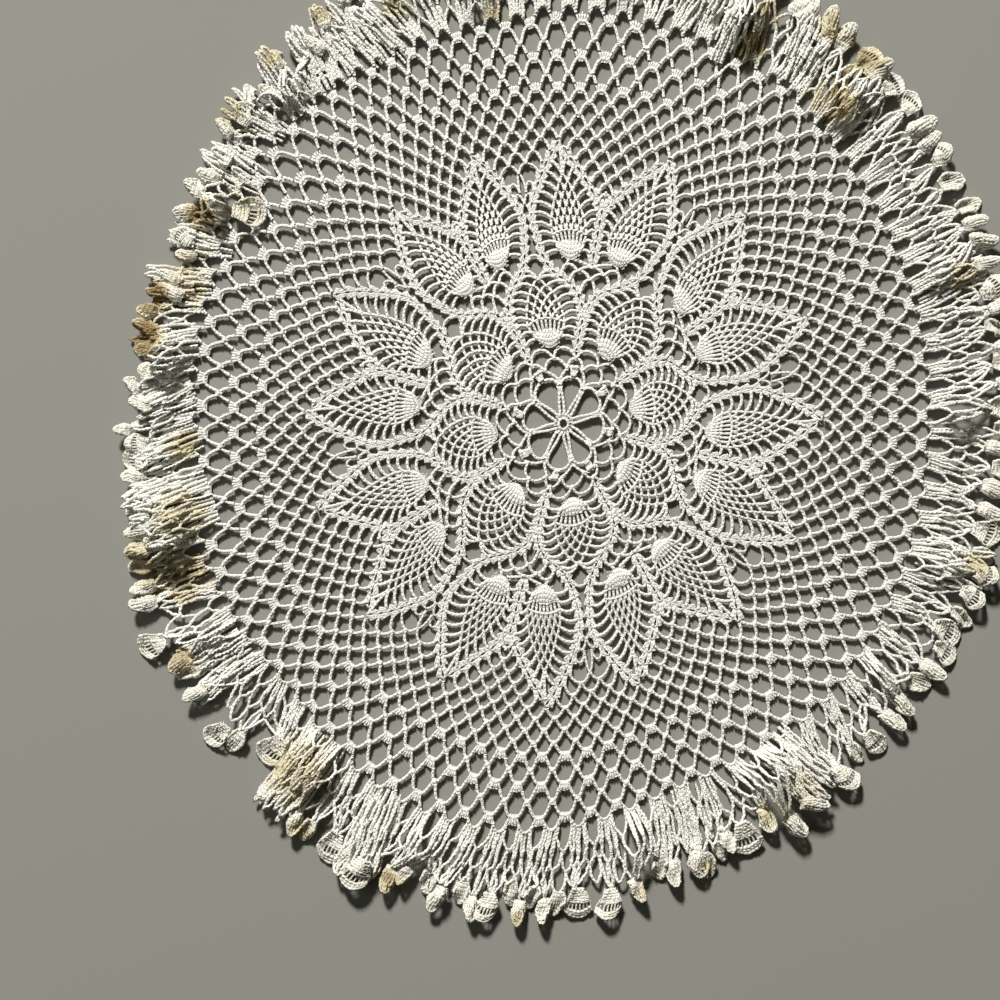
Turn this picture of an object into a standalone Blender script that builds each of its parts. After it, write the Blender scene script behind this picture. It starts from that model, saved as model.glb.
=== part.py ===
"""A ruffled pineapple lace doily of crocheted cotton, lying on a flat surface.

The ground is one flat lace plate: a petalled centre, a round of eight pineapple motifs, a round
of sixteen larger ones set in pairs, and an even diamond net out to the edge.  The frill is the
gathered edging worked into the edge loops of that net.  It lies around the ground in uneven flutes
and folds, and touches the surface in the troughs between them.
The lace lies a little stretched and turned, as the LIE table says.  Bearings run counter-clockwise
from +X, in degrees.  Rho is the distance from the centre in the unstretched lace.
"""
import math

import bmesh
import bpy

MM = 0.001

# Sheet thicknesses and the clearance between the two pieces.
GROUND_THICK = 1.6 * MM
FRILL_THICK = 1.6 * MM
MOTIF_RAISE = 0.7 * MM
GAP = 0.3 * MM

# The repeat: sectors of the ground, edge loops in the round, and the bearing of the first motif.
SECTORS = 8
EDGE_LOOPS = 88
FIRST_AXIS = 9.5
SECTOR = 360.0 / SECTORS

# Rings of the unstretched lace.
FAN_RING = 77.0 * MM
TIP_RING = 116.0 * MM
EDGE_RING = 177.0 * MM
SCALLOP = 2.4 * MM

# How the lace lies, every 22.5 degrees: the turn in degrees, the stretch at three rings, and how
# far the frill reaches from the centre, in millimetres.
LIE_STEP = 22.5
LIE_COLUMNS = ("turn", "fans", "tips", "edge", "reach")
LIE = (
    (2.0, 0.929, 0.957, 0.945, 209.0),
    (4.0, 0.970, 0.982, 0.975, 215.0),
    (4.8, 1.058, 1.020, 1.018, 223.0),
    (3.3, 1.077, 1.050, 1.056, 229.0),
    (1.8, 1.073, 1.047, 1.062, 229.5),
    (-1.2, 1.090, 1.040, 1.070, 229.0),
    (-5.6, 1.025, 1.000, 1.082, 216.0),
    (-3.8, 0.955, 0.972, 0.985, 205.0),
    (-2.0, 0.943, 0.956, 0.945, 209.0),
    (-0.5, 0.957, 0.962, 0.967, 217.0),
    (0.0, 1.045, 1.020, 1.000, 213.0),
    (-0.4, 1.071, 1.047, 1.035, 231.0),
    (-3.0, 1.050, 1.045, 1.047, 229.5),
    (-3.8, 1.005, 0.995, 0.980, 216.0),
    (-2.7, 0.965, 0.972, 0.987, 211.0),
    (-0.9, 0.918, 0.953, 0.955, 209.0),
)

# The cut gaps of one sector.  Rho, radial length and width are in millimetres, and the side angle
# is measured from the axis of the inner pineapple; a gap off the axis is mirrored to its other
# side unless it lies on the sector's edge.
GAP_COLUMNS = ("rho", "side", "length", "width", "corners", "point")
GAPS = (
    (12.8, 22.5, 12.4, 7.6, 9, 0.55),
    (24.8, 0.0, 5.0, 5.6, 6, 0.0),
    (24.8, 22.5, 5.0, 5.6, 6, 0.0),
    (31.0, 11.25, 6.2, 7.6, 6, 0.0),
    (64.8, 0.0, 7.8, 5.6, 8, 0.15),
    (116.0, 11.25, 8.4, 7.4, 8, 0.2),
    (92.0, 8.3, 6.6, 6.2, 6, 0.0),
    (87.5, 18.6, 6.4, 5.0, 6, 0.0),
    (99.5, 0.0, 7.4, 7.0, 6, 0.0),
)

# The net: cells in the round and its rows, from the edge inwards.  A row holds the cells at the
# given side angles; the rows step in by NET_STEP.
NET_CELLS = 48
NET_FIRST = 164.5 * MM
NET_STEP = 12.2 * MM
NET_BAR = 2.3 * MM
NET_CORNERS = 6
HEX = 2.0 / math.sqrt(3.0)
NET_ROWS = (
    (0.0, 7.5, 15.0, 22.5),
    (3.75, 11.25, 18.75),
    (0.0, 7.5, 15.0, 22.5),
    (3.75, 18.75),
    (0.0, 22.5),
)

# The solid stitch fans, one at the foot of each pineapple: rho, side angle, length and width.
FAN_COLUMNS = ("rho", "side", "length", "width")
FANS = (
    (37.0, 0.0, 9.0, 13.2),
    (77.0, 13.6, 11.0, 14.6),
)
FAN_CORNERS = 9
FAN_POINT = 0.3
WELD = 0.01 * MM

# The frill.  Three columns serve each edge loop: one over the arch between two gathered bundles
# and two on the bundle.  The rows run from the edge loop (0) out to the shells (1).  Low flutes
# run all round and swell in some stretches, and the folds rise from them to their crests.
COLUMNS_PER_LOOP = 3
FRILL_ROWS = (0.0, 0.18, 0.40, 0.62, 0.82, 1.0)
ARCH = 0.20
SHELL_NOTCH = 0.07
FLUTES = 44
FLUTE_RISE = 3.0 * MM
FLUTE_SWELL = 0.6
SWELLS_ROUND = 5
FLUTE_START = 1.5
FOLD_CREST = 0.8
FOLD_END = 0.9
LEAN_END = 0.65

# Matt cotton colours.
GROUND_COLOUR = (0.80, 0.78, 0.72)
FRILL_COLOUR = (0.76, 0.72, 0.62)
COTTON_ROUGHNESS = 0.9

# The main folds: bearing and half width in degrees, rise and inward lean in millimetres, and the
# share of the rise that is left at the outer end.
FOLD_COLUMNS = ("bearing", "half", "rise", "lean", "tip")
FOLDS = (
    (2.0, 5.0, 10.0, 1.0, 0.6),
    (22.0, 4.0, 8.0, 0.0, 0.9),
    (49.0, 5.0, 13.0, 2.0, 0.8),
    (66.0, 3.6, 14.0, 4.0, 0.5),
    (82.0, 3.0, 6.0, 0.0, 0.9),
    (101.0, 4.0, 8.0, 1.0, 0.6),
    (130.0, 6.0, 12.0, 2.0, 0.5),
    (148.0, 4.5, 11.0, 4.0, 0.3),
    (171.0, 5.0, 12.0, 1.0, 0.8),
    (195.0, 8.0, 17.0, 5.0, 0.5),
    (211.0, 3.0, 7.0, 0.0, 1.0),
    (234.0, 5.5, 12.0, 3.0, 0.6),
    (251.0, 4.0, 8.0, 0.0, 0.9),
    (280.0, 4.0, 9.0, 1.0, 0.7),
    (301.0, 6.0, 15.0, 5.0, 0.5),
    (322.0, 4.0, 7.0, 0.0, 0.9),
    (340.0, 4.5, 9.0, 1.0, 0.7),
)


def named(columns, row):
    """One table row, by its column names."""
    return dict(zip(columns, row))


def around(column, bearing):
    """A column of the LIE table at any bearing, on a smooth closed curve through its rows."""
    k = LIE_COLUMNS.index(column)
    at = (bearing / LIE_STEP) % len(LIE)
    i = int(at)
    t = at - i
    a, b, c, d = (LIE[(i + n) % len(LIE)][k] for n in (-1, 0, 1, 2))
    return b + 0.5 * t * (c - a + t * (2 * a - 5 * b + 4 * c - d + t * (3 * (b - c) + d - a)))


def stretch(rho, bearing):
    """How far the lace is stretched at a point, blended between its three measured rings."""
    fans, tips, edge = (around(name, bearing) for name in ("fans", "tips", "edge"))
    if rho < TIP_RING:
        t = max(0.0, (rho - FAN_RING) / (TIP_RING - FAN_RING))
        return fans + (tips - fans) * t
    t = min(1.0, (rho - TIP_RING) / (EDGE_RING - TIP_RING))
    return tips + (edge - tips) * t


def place(rho, bearing):
    """Where a point of the unstretched lace lies, as x and y."""
    r = rho * stretch(rho, bearing)
    phi = math.radians(bearing + around("turn", bearing))
    return r * math.cos(phi), r * math.sin(phi)


def ring_outline(rho, bearing, length, width, corners, point=0.0):
    """A closed outline around a point of the lace; point draws its inner end in like a petal."""
    outline = []
    for i in range(corners):
        a = 2.0 * math.pi * i / corners
        out = 0.5 * length * math.cos(a)
        side = 0.5 * width * math.sin(a) * (1.0 + point * math.cos(a))
        here = rho + out
        outline.append(place(here, bearing + math.degrees(side / here)))
    return outline


def sides(side):
    """The side angles at which a gap of the table stands in its sector."""
    return (side,) if side in (0.0, 0.5 * SECTOR) else (side, -side)


def lace_gaps():
    """The outlines of every gap that is cut through the ground."""
    outlines = []
    for k in range(SECTORS):
        axis = FIRST_AXIS + k * SECTOR
        for gap in (named(GAP_COLUMNS, row) for row in GAPS):
            for side in sides(gap["side"]):
                outlines.append(ring_outline(gap["rho"] * MM, axis + side, gap["length"] * MM,
                                             gap["width"] * MM, gap["corners"], gap["point"]))
        for n, row in enumerate(NET_ROWS):
            rho = NET_FIRST - n * NET_STEP
            pitch = 2.0 * math.pi * rho / NET_CELLS
            for side in (s for base in row for s in sides(base)):
                outlines.append(ring_outline(rho, axis + side, 4.0 * NET_STEP / 3.0 - HEX * NET_BAR,
                                             HEX * (pitch - NET_BAR), NET_CORNERS))
    return outlines


def ground_rim():
    """The scalloped edge: a valley between two edge loops, then two points on the loop."""
    rim = []
    count = EDGE_LOOPS * COLUMNS_PER_LOOP
    for i in range(count):
        rho = EDGE_RING - (SCALLOP if i % COLUMNS_PER_LOOP == 0 else 0.0)
        rim.append(place(rho, 360.0 * i / count))
    return rim


def flat_plate(name, outlines, z_low, z_high):
    """A closed plate between two heights, with every outline but the first one cut out of it."""
    curve = bpy.data.curves.new(name, "CURVE")
    curve.dimensions = "2D"
    curve.fill_mode = "BOTH"
    curve.extrude = 0.5 * (z_high - z_low)
    for outline in outlines:
        spline = curve.splines.new("POLY")
        spline.points.add(len(outline) - 1)
        for point, (x, y) in zip(spline.points, outline):
            point.co = (x, y, 0.0, 1.0)
        spline.use_cyclic_u = True
    sketch = bpy.data.objects.new(name + "_sketch", curve)
    bpy.context.scene.collection.objects.link(sketch)
    bpy.context.view_layer.update()
    graph = bpy.context.evaluated_depsgraph_get()
    mesh = bpy.data.meshes.new_from_object(sketch.evaluated_get(graph))
    bpy.data.objects.remove(sketch)
    bm = bmesh.new()
    bm.from_mesh(mesh)
    bmesh.ops.translate(bm, verts=bm.verts, vec=(0.0, 0.0, 0.5 * (z_low + z_high)))
    bmesh.ops.remove_doubles(bm, verts=bm.verts, dist=WELD)
    bmesh.ops.recalc_face_normals(bm, faces=bm.faces)
    bm.to_mesh(mesh)
    bm.free()
    mesh.name = name
    return bpy.data.objects.new(name, mesh)


def cotton(name, colour):
    """Matt cotton thread of one colour."""
    material = bpy.data.materials.new(name)
    material.use_nodes = True
    shader = material.node_tree.nodes["Principled BSDF"]
    shader.inputs["Base Color"].default_value = (*colour, 1.0)
    shader.inputs["Roughness"].default_value = COTTON_ROUGHNESS
    shader.inputs["Metallic"].default_value = 0.0
    return material


def doily_ground(parts, cutters):
    """The flat lace ground, with the stitch fans of its pineapples raised on the top face."""
    ground = flat_plate("doily_ground", [ground_rim()] + lace_gaps(), 0.0, GROUND_THICK)
    parts.objects.link(ground)
    fans = []
    for k in range(SECTORS):
        for fan in (named(FAN_COLUMNS, row) for row in FANS):
            for side in sides(fan["side"]):
                bearing = FIRST_AXIS + k * SECTOR + side
                fans.append(ring_outline(fan["rho"] * MM, bearing, fan["length"] * MM,
                                         fan["width"] * MM, FAN_CORNERS, FAN_POINT))
    pads = flat_plate("stitch_fans", fans, 0.5 * GROUND_THICK, GROUND_THICK + MOTIF_RAISE)
    cutters.objects.link(pads)
    pads.hide_render = True
    pads.display_type = "WIRE"
    raised = ground.modifiers.new("raised_fans", "BOOLEAN")
    raised.operation = "UNION"
    raised.solver = "EXACT"
    raised.object = pads
    ground.data.materials.append(cotton("ground_cotton", GROUND_COLOUR))
    return ground


def fold_height(bearing, s):
    """Rise and inward lean of the frill at a bearing, s from the edge loop (0) to the shells (1)."""
    rise = lean = 0.0
    for fold in (named(FOLD_COLUMNS, row) for row in FOLDS):
        off = (bearing - fold["bearing"] + 180.0) % 360.0 - 180.0
        reach = abs(off) / fold["half"]
        if reach >= 1.0:
            continue
        weight = 0.5 + 0.5 * math.cos(math.pi * reach)
        crest = math.sin(math.pi * min(1.0, s / FOLD_END) ** FOLD_CREST)
        rise = max(rise, weight * fold["rise"] * MM * max(crest, fold["tip"] * s))
        lean += weight * fold["lean"] * MM * math.sin(math.pi * min(1.0, s / LEAN_END))
    return rise, lean


def frill_point(loop, s):
    """A point of the frill's middle surface; loop counts edge loops round from bearing 0."""
    bearing = 360.0 * loop / EDGE_LOOPS
    phi = bearing + around("turn", bearing)
    near = EDGE_RING * around("edge", bearing) + GAP
    far = around("reach", bearing) * MM
    rise, lean = fold_height(phi, s)
    turns = math.radians(bearing)
    swell = 1.0 + FLUTE_SWELL * math.sin(SWELLS_ROUND * turns)
    flute = FLUTE_RISE * swell * s ** FLUTE_START * (0.5 - 0.5 * math.cos(FLUTES * turns))
    r = near + (far - near) * s - lean
    z = 0.5 * FRILL_THICK + max(rise, flute)
    return r * math.cos(math.radians(phi)), r * math.sin(math.radians(phi)), z


def frill(parts):
    """The gathered edging, one closed ring of sheet."""
    count = EDGE_LOOPS * COLUMNS_PER_LOOP
    bm = bmesh.new()
    grid = []
    for row in FRILL_ROWS:
        ring = []
        for i in range(count):
            over_arch = i % COLUMNS_PER_LOOP == 0
            inner, outer = (ARCH, 1.0 - SHELL_NOTCH) if over_arch else (0.0, 1.0)
            s = inner + (outer - inner) * row
            ring.append(bm.verts.new(frill_point(i / COLUMNS_PER_LOOP, s)))
        grid.append(ring)
    for inner, outer in zip(grid, grid[1:]):
        for i in range(count):
            j = (i + 1) % count
            bm.faces.new((inner[i], outer[i], outer[j], inner[j]))
    mesh = bpy.data.meshes.new("ruffle_frill")
    bm.to_mesh(mesh)
    bm.free()
    sheet = bpy.data.objects.new("frill_sheet", mesh)
    thick = sheet.modifiers.new("thickness", "SOLIDIFY")
    thick.thickness = FRILL_THICK
    thick.offset = 0.0
    bpy.context.scene.collection.objects.link(sheet)
    bpy.context.view_layer.update()
    graph = bpy.context.evaluated_depsgraph_get()
    solid = bpy.data.meshes.new_from_object(sheet.evaluated_get(graph))
    half = len(mesh.vertices)
    # The inner rim stands upright beside the ground, and no trough dips under the surface.
    for i in range(count):
        flat = mesh.vertices[i].co
        for vertex in (solid.vertices[i], solid.vertices[half + i]):
            vertex.co.x, vertex.co.y = flat.x, flat.y
    for vertex in solid.vertices:
        vertex.co.z = max(vertex.co.z, 0.0)
    bpy.data.objects.remove(sheet)
    solid.name = "ruffle_frill"
    ring = bpy.data.objects.new("ruffle_frill", solid)
    solid.shade_smooth()
    ring.data.materials.append(cotton("frill_cotton", FRILL_COLOUR))
    parts.objects.link(ring)
    return ring


for old in list(bpy.data.objects):
    bpy.data.objects.remove(old)
doily_parts = bpy.data.collections.new("lace_doily")
doily_cutters = bpy.data.collections.new("doily_cutters")
bpy.context.scene.collection.children.link(doily_parts)
bpy.context.scene.collection.children.link(doily_cutters)
doily_ground(doily_parts, doily_cutters)
frill(doily_parts)
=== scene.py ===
"""The looks of a ruffled pineapple lace doily: every thread of it, worked from one chart.

The chart is drawn in steps of 0.46 mm from the centre (rho) and in degrees counter-clockwise
from +X (bearing).  It is the unstretched pattern; lay() puts a point of it where the lace lies.
"""
import math
import random

import bpy
import numpy
from mathutils import Matrix, Vector, noise


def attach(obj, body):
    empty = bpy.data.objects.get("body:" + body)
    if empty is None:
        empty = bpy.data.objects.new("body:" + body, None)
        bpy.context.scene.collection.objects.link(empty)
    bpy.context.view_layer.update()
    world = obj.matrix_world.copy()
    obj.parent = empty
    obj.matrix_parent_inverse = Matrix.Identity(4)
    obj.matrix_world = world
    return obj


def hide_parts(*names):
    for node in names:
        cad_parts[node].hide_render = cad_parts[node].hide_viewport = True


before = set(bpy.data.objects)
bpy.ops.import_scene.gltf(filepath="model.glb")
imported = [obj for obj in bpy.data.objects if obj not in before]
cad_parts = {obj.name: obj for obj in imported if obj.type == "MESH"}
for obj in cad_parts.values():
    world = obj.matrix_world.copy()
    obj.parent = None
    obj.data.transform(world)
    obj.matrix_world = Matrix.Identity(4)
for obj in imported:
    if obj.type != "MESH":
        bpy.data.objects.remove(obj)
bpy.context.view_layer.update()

MM = 0.001

# ----------------------------------------
# The centre flower.  A small ring of chain with eight pairs of long trebles, each pair caught in
# a knot; arches of chain between the knots make the petals, with a block of four trebles on
# each.  Everything is one cotton thread, so the helpers that lay and spin it start here.
# ----------------------------------------
STEP = 0.46 * MM          # one step of the chart
SECTORS = 8
SECTOR = 360.0 / SECTORS
FIRST_AXIS = 9.5          # bearing of the first inner pineapple
HALF = 0.5 * SECTOR

# How the lace lies, every 22.5 degrees: the turn in degrees, the stretch at three rings, and how
# far the frill reaches from the centre in millimetres.
LIE_STEP = 22.5
LIE_COLUMNS = ("turn", "fans", "tips", "edge", "reach")
LIE = (
    (2, 0.929, 0.957, 0.945, 209),
    (4, 0.970, 0.982, 0.975, 215),
    (4.8, 1.058, 1.020, 1.018, 223),
    (3.3, 1.077, 1.050, 1.056, 229),
    (1.8, 1.073, 1.047, 1.062, 229.5),
    (-1.2, 1.090, 1.040, 1.070, 229),
    (-5.6, 1.025, 1.000, 1.082, 216),
    (-3.8, 0.955, 0.972, 0.985, 205),
    (-2, 0.943, 0.956, 0.945, 209),
    (-0.5, 0.957, 0.962, 0.967, 217),
    (0, 1.045, 1.020, 1.000, 213),
    (-0.4, 1.071, 1.047, 1.035, 231),
    (-3, 1.050, 1.045, 1.047, 229.5),
    (-3.8, 1.005, 0.995, 0.980, 216),
    (-2.7, 0.965, 0.972, 0.987, 211),
    (-0.9, 0.918, 0.953, 0.955, 209),
)
FAN_RING, TIP_RING, EDGE_RING = 167.4, 252.2, 384.8
# Hand work: how far a stitch strays, over what patches, and the seed that says which way.
UNEVEN, UNEVEN_SIZE, UNEVEN_SEED = 0.55 * MM, 11.0 * MM, 1795535858
noise.seed_set(UNEVEN_SEED)


def around(column, bearing):
    """A column of the LIE table at any bearing, on a smooth closed curve through its rows."""
    k = LIE_COLUMNS.index(column)
    at = (bearing / LIE_STEP) % len(LIE)
    i = int(at)
    t = at - i
    a, b, c, d = (LIE[(i + n) % len(LIE)][k] for n in (-1, 0, 1, 2))
    return b + 0.5 * t * (c - a + t * (2 * a - 5 * b + 4 * c - d + t * (3 * (b - c) + d - a)))


def stretch(rho, bearing):
    """How far the lace is stretched there, blended between its three measured rings."""
    fans, tips, edge = (around(name, bearing) for name in ("fans", "tips", "edge"))
    if rho < TIP_RING:
        return fans + (tips - fans) * max(0.0, (rho - FAN_RING) / (TIP_RING - FAN_RING))
    return tips + (edge - tips) * min(1.0, (rho - TIP_RING) / (EDGE_RING - TIP_RING))


# The flower is twisted a little against the rest: degrees at each inner axis, and where it ends.
TWIST = (5.5, 2.6, -4.2, 3, 7.5, 7.5, 4.8, 0.6)
TWIST_FROM, TWIST_TO = 44, 70.0


def twist(rho, bearing):
    """How far the flower is twisted there, in degrees."""
    at = ((bearing - FIRST_AXIS) / SECTOR) % SECTORS
    i = int(at)
    here, after = TWIST[i], TWIST[(i + 1) % SECTORS]
    fade = min(1, max(0, (TWIST_TO - rho) / (TWIST_TO - TWIST_FROM)))
    return fade * (here + (after - here) * (at - i))


# How far the frill draws the edge out (below nothing, in): bearing as it lies, steps of the chart.
EDGE_DRAWN = (
    (10, 4), (28, 2), (46, 3), (52, 5.5), (56, 11), (61, 8.6), (72, 4),
    (77, 5.5), (86, 10), (92, 10), (96, 3), (110, 1), (120, -5), (128, -6),
    (134, -1), (140, 5), (150, 8), (156, 6), (162, 9), (172, 11), (182, 8),
    (190, 8), (196, 13), (201, 15), (205, 12), (209, 7.6), (213, 4), (219, 0),
    (225, -3), (231, 3), (236, 4), (240, 12), (250, 13), (255, 10.6),
    (260, 8.6), (265, 6), (270, 3), (282, 4), (290, 3), (310, 1), (345, 3),
)
DRAWN_FROM, DRAWN_CURVE = 315.0, 1.5


def smooth_round(table, bearing):
    """The value of a table of (bearing, value) at any bearing, eased from row to row."""
    bearing %= 360.0
    before = (table[-1][0] - 360.0, table[-1][1])
    for row in table + ((table[0][0] + 360.0, table[0][1]),):
        if bearing < row[0]:
            t = (bearing - before[0]) / (row[0] - before[0])
            return before[1] + (row[1] - before[1]) * t * t * (3.0 - 2.0 * t)
        before = row
    return before[1]


# The lace lies loosely: how high over the floor, how much that varies, and over what patches.
LIFT, LIFT_VARIES, LIFT_SIZE = 0.9 * MM, 0.7 * MM, 38.0 * MM


def lay(rho, bearing, z=0.0):
    """Where a point of the chart lies."""
    r = rho * STEP * stretch(rho, bearing)
    turned = bearing + around("turn", bearing) + twist(rho, bearing)
    if rho > DRAWN_FROM:
        share = min(1.0, (rho - DRAWN_FROM) / (EDGE_RING - DRAWN_FROM)) ** DRAWN_CURVE
        r += smooth_round(EDGE_DRAWN, turned) * STEP * share
    phi = math.radians(turned)
    x, y = r * math.cos(phi), r * math.sin(phi)
    stray = noise.noise_vector(Vector((x, y, 0.0)) / UNEVEN_SIZE) * UNEVEN
    loose = LIFT + LIFT_VARIES * noise.noise(Vector((x, y, 0.0)) / LIFT_SIZE)
    return Vector((x + stray.x, y + stray.y, z + loose))


CHAIN = 0.78 * MM         # half the width of a chain of stitches
HOOK = 0.55 * MM          # how far a loop's foot rises over what it is hooked on
# Points in a loop, how square it is and how late its feet rise; how a treble swells to its head;
# a knot's length in steps, its places along that and its swell; and a hump.
LOOP_POINTS, LOOP_CURVE, HOOK_CURVE = 9, 2.4, 6
POST_SWELL = (0.9, 1.0, 1.08)
KNOT_LONG, KNOT_THICK, KNOT_LOW = 4.4, 1.25 * CHAIN, 0.3 * MM
KNOT_PLACES, KNOT_SWELL = (-0.45, 0.05, 0.6), (0.6, 1.0, 0.65)
HUMP_ALONG, HUMP_ASIDE, HUMP_ENDS = 0.6 * MM, 0.35 * MM, 0.5


def raised(height):
    """A step straight up."""
    return Vector((0.0, 0.0, height))


def spread(count):
    """Evenly spaced places from -1 to 1."""
    return [2.0 * i / (count - 1) - 1.0 for i in range(count)]


def beside(axis, hand, places):
    """Chart places, given as rho and degrees from an axis, on one hand of it."""
    return [(rho, axis + hand * side) for rho, side in places]


def loop(yarn, foot, top, other, thick=CHAIN, square=LOOP_CURVE):
    """A chain loop from one foot over its top to the other foot, each a (rho, bearing)."""
    points = []
    middle = 0.5 * (foot[0] + other[0])
    for u in spread(LOOP_POINTS):
        base = foot[0] + (other[0] - foot[0]) * 0.5 * (u + 1.0)
        rho = base + (top[0] - middle) * (1.0 - abs(u) ** square)
        side = foot if u < 0.0 else other
        bearing = top[1] + (side[1] - top[1]) * abs(u)
        points.append(lay(rho, bearing, thick + HOOK * abs(u) ** HOOK_CURVE))
    yarn.append((points, [thick] * len(points)))


def post(yarn, foot, top, thick, lift):
    """A treble, a little thicker at its head, between two places.  Neighbours run in turn up and
    down, so that their stitches don't line up."""
    places = ((foot, 0.0), (0.5 * (foot + top), lift), (top, 0.0))
    points = [place + raised(thick + rise) for place, rise in places]
    turned = -1 if len(yarn) % 2 else 1
    yarn.append((points[::turned], [share * thick for share in POST_SWELL][::turned]))


def strand(yarn, chart, thick, low=0.0):
    """A strand through chart points (rho, bearing)."""
    points = [lay(rho, bearing, low + thick) for rho, bearing in chart]
    yarn.append((points, [thick] * len(points)))


def knot(yarn, rho, bearing, length=KNOT_LONG, thick=KNOT_THICK, low=KNOT_LOW):
    """The stitch that fastens one loop to another."""
    points = [lay(rho + length * t, bearing, low + CHAIN) for t in KNOT_PLACES]
    yarn.append((points, [share * thick for share in KNOT_SWELL]))


def hump_at(yarn, place, height, size):
    """The head of a stitch, seen as a small hump at a place."""
    points = [place + Vector((u * HUMP_ALONG, u * HUMP_ASIDE, height)) for u in (-1.0, 0.0, 1.0)]
    yarn.append((points, [HUMP_ENDS * size, size, HUMP_ENDS * size]))


STITCH = 2.0 * MM         # the length of a stitch
BEAD = 0.13               # how much a chain swells at each stitch
LUMPS = 0.12              # how uneven its stitches are
SPUN_SIDES = 5            # sides of a thread


def feed(tree, socket, value):
    """Gives a socket a value, or another socket to read."""
    if isinstance(value, bpy.types.NodeSocket):
        tree.links.new(value, socket)
    else:
        socket.default_value = value


def node(tree, kind, **values):
    """A node, with values or sockets by the names of its properties and inputs."""
    made = tree.nodes.new(kind)
    for name, value in values.items():
        if hasattr(made, name):
            setattr(made, name, value)
        else:
            feed(tree, made.inputs[name.replace("_", " ")], value)
    return made


def math_node(tree, operation, *values):
    """What a math node makes of sockets or numbers."""
    made = node(tree, "ShaderNodeMath", operation=operation)
    for socket, value in zip(made.inputs, values):
        feed(tree, socket, value)
    return made.outputs[0]


def spun_thread():
    """Node group that turns curves into cotton thread: swollen at each stitch, with the place
    along and around the thread kept for the plait of its surface."""
    group = bpy.data.node_groups.new("spun_thread", "GeometryNodeTree")
    for name, way, kind in (("Geometry", "INPUT", "Geometry"), ("Sides", "INPUT", "Int"),
                            ("Geometry", "OUTPUT", "Geometry")):
        group.interface.new_socket(name, in_out=way, socket_type="NodeSocket" + kind)
    source = node(group, "NodeGroupInput")
    eased = node(group, "GeometryNodeCurveSplineType", spline_type="CATMULL_ROM",
                 Curve=source.outputs["Geometry"])
    line = node(group, "GeometryNodeResampleCurve", mode="LENGTH", Curve=eased.outputs["Curve"],
                Length=0.5 * STITCH)
    every_other = math_node(group, "MODULO", node(group, "GeometryNodeInputIndex").outputs["Index"], 2.0)
    swell = node(group, "ShaderNodeMapRange", Value=every_other, To_Min=1.0 - BEAD, To_Max=1.0 + BEAD)
    # sockets 2 and 3 of a random value are the ends of its plain numbers, and 1 gives one
    lumps = node(group, "FunctionNodeRandomValue")
    lumps.inputs[2].default_value, lumps.inputs[3].default_value = 1.0 - LUMPS, 1.0 + LUMPS
    uneven = math_node(group, "MULTIPLY", swell.outputs["Result"], lumps.outputs[1])
    radius = node(group, "GeometryNodeInputRadius").outputs["Radius"]
    measured = node(group, "GeometryNodeStoreNamedAttribute", Name="along",
                    Geometry=line.outputs["Curve"],
                    Value=node(group, "GeometryNodeSplineParameter").outputs["Length"])
    ring = node(group, "GeometryNodeCurvePrimitiveCircle", Radius=1.0,
                Resolution=source.outputs["Sides"])
    marked = node(group, "GeometryNodeStoreNamedAttribute", data_type="FLOAT_VECTOR", Name="around",
                  Geometry=ring.outputs["Curve"],
                  Value=node(group, "GeometryNodeInputPosition").outputs["Position"])
    tube = node(group, "GeometryNodeCurveToMesh", Curve=measured.outputs["Geometry"],
                Profile_Curve=marked.outputs["Geometry"], Fill_Caps=True,
                Scale=math_node(group, "MULTIPLY", radius, uneven))
    smooth = node(group, "GeometryNodeSetShadeSmooth", Geometry=tube.outputs["Mesh"])
    node(group, "NodeGroupOutput", Geometry=smooth.outputs["Geometry"])
    return group


SPUN = spun_thread()
SIDES = next(item.identifier for item in SPUN.interface.items_tree if item.name == "Sides")


def spin(name, yarn, material, slot, stands_for, sides=SPUN_SIDES):
    """A piece from strands, each a list of points and their radii."""
    curve = bpy.data.curves.new(name, "CURVE")
    curve.dimensions = "3D"
    for points, radii in yarn:
        spline = curve.splines.new("POLY")
        spline.points.add(len(points) - 1)
        spline.points.foreach_set("co", [c for p in points for c in (p[0], p[1], p[2], 1.0)])
        spline.points.foreach_set("radius", radii)
    drawn = bpy.data.objects.new(name + "_line", curve)
    spun = drawn.modifiers.new("spun", "NODES")
    spun.node_group = SPUN
    spun[SIDES] = sides
    bpy.context.scene.collection.objects.link(drawn)
    bpy.context.view_layer.update()
    mesh = bpy.data.meshes.new_from_object(
        drawn.evaluated_get(bpy.context.evaluated_depsgraph_get()))
    bpy.data.objects.remove(drawn)
    bpy.data.curves.remove(curve)
    mesh.name = name
    mesh.materials.clear()
    mesh.materials.append(material)
    piece = bpy.data.objects.new(name, mesh)
    bpy.context.scene.collection.objects.link(piece)
    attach(piece, "root")
    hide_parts(stands_for)
    return piece


# The fine twist in the plait: how often in a stitch, how slanted, and how much of its height.
PLY_TURNS, PLY_LEAN, PLY_SHARE = 5.0, 3.0, 0.22


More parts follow.
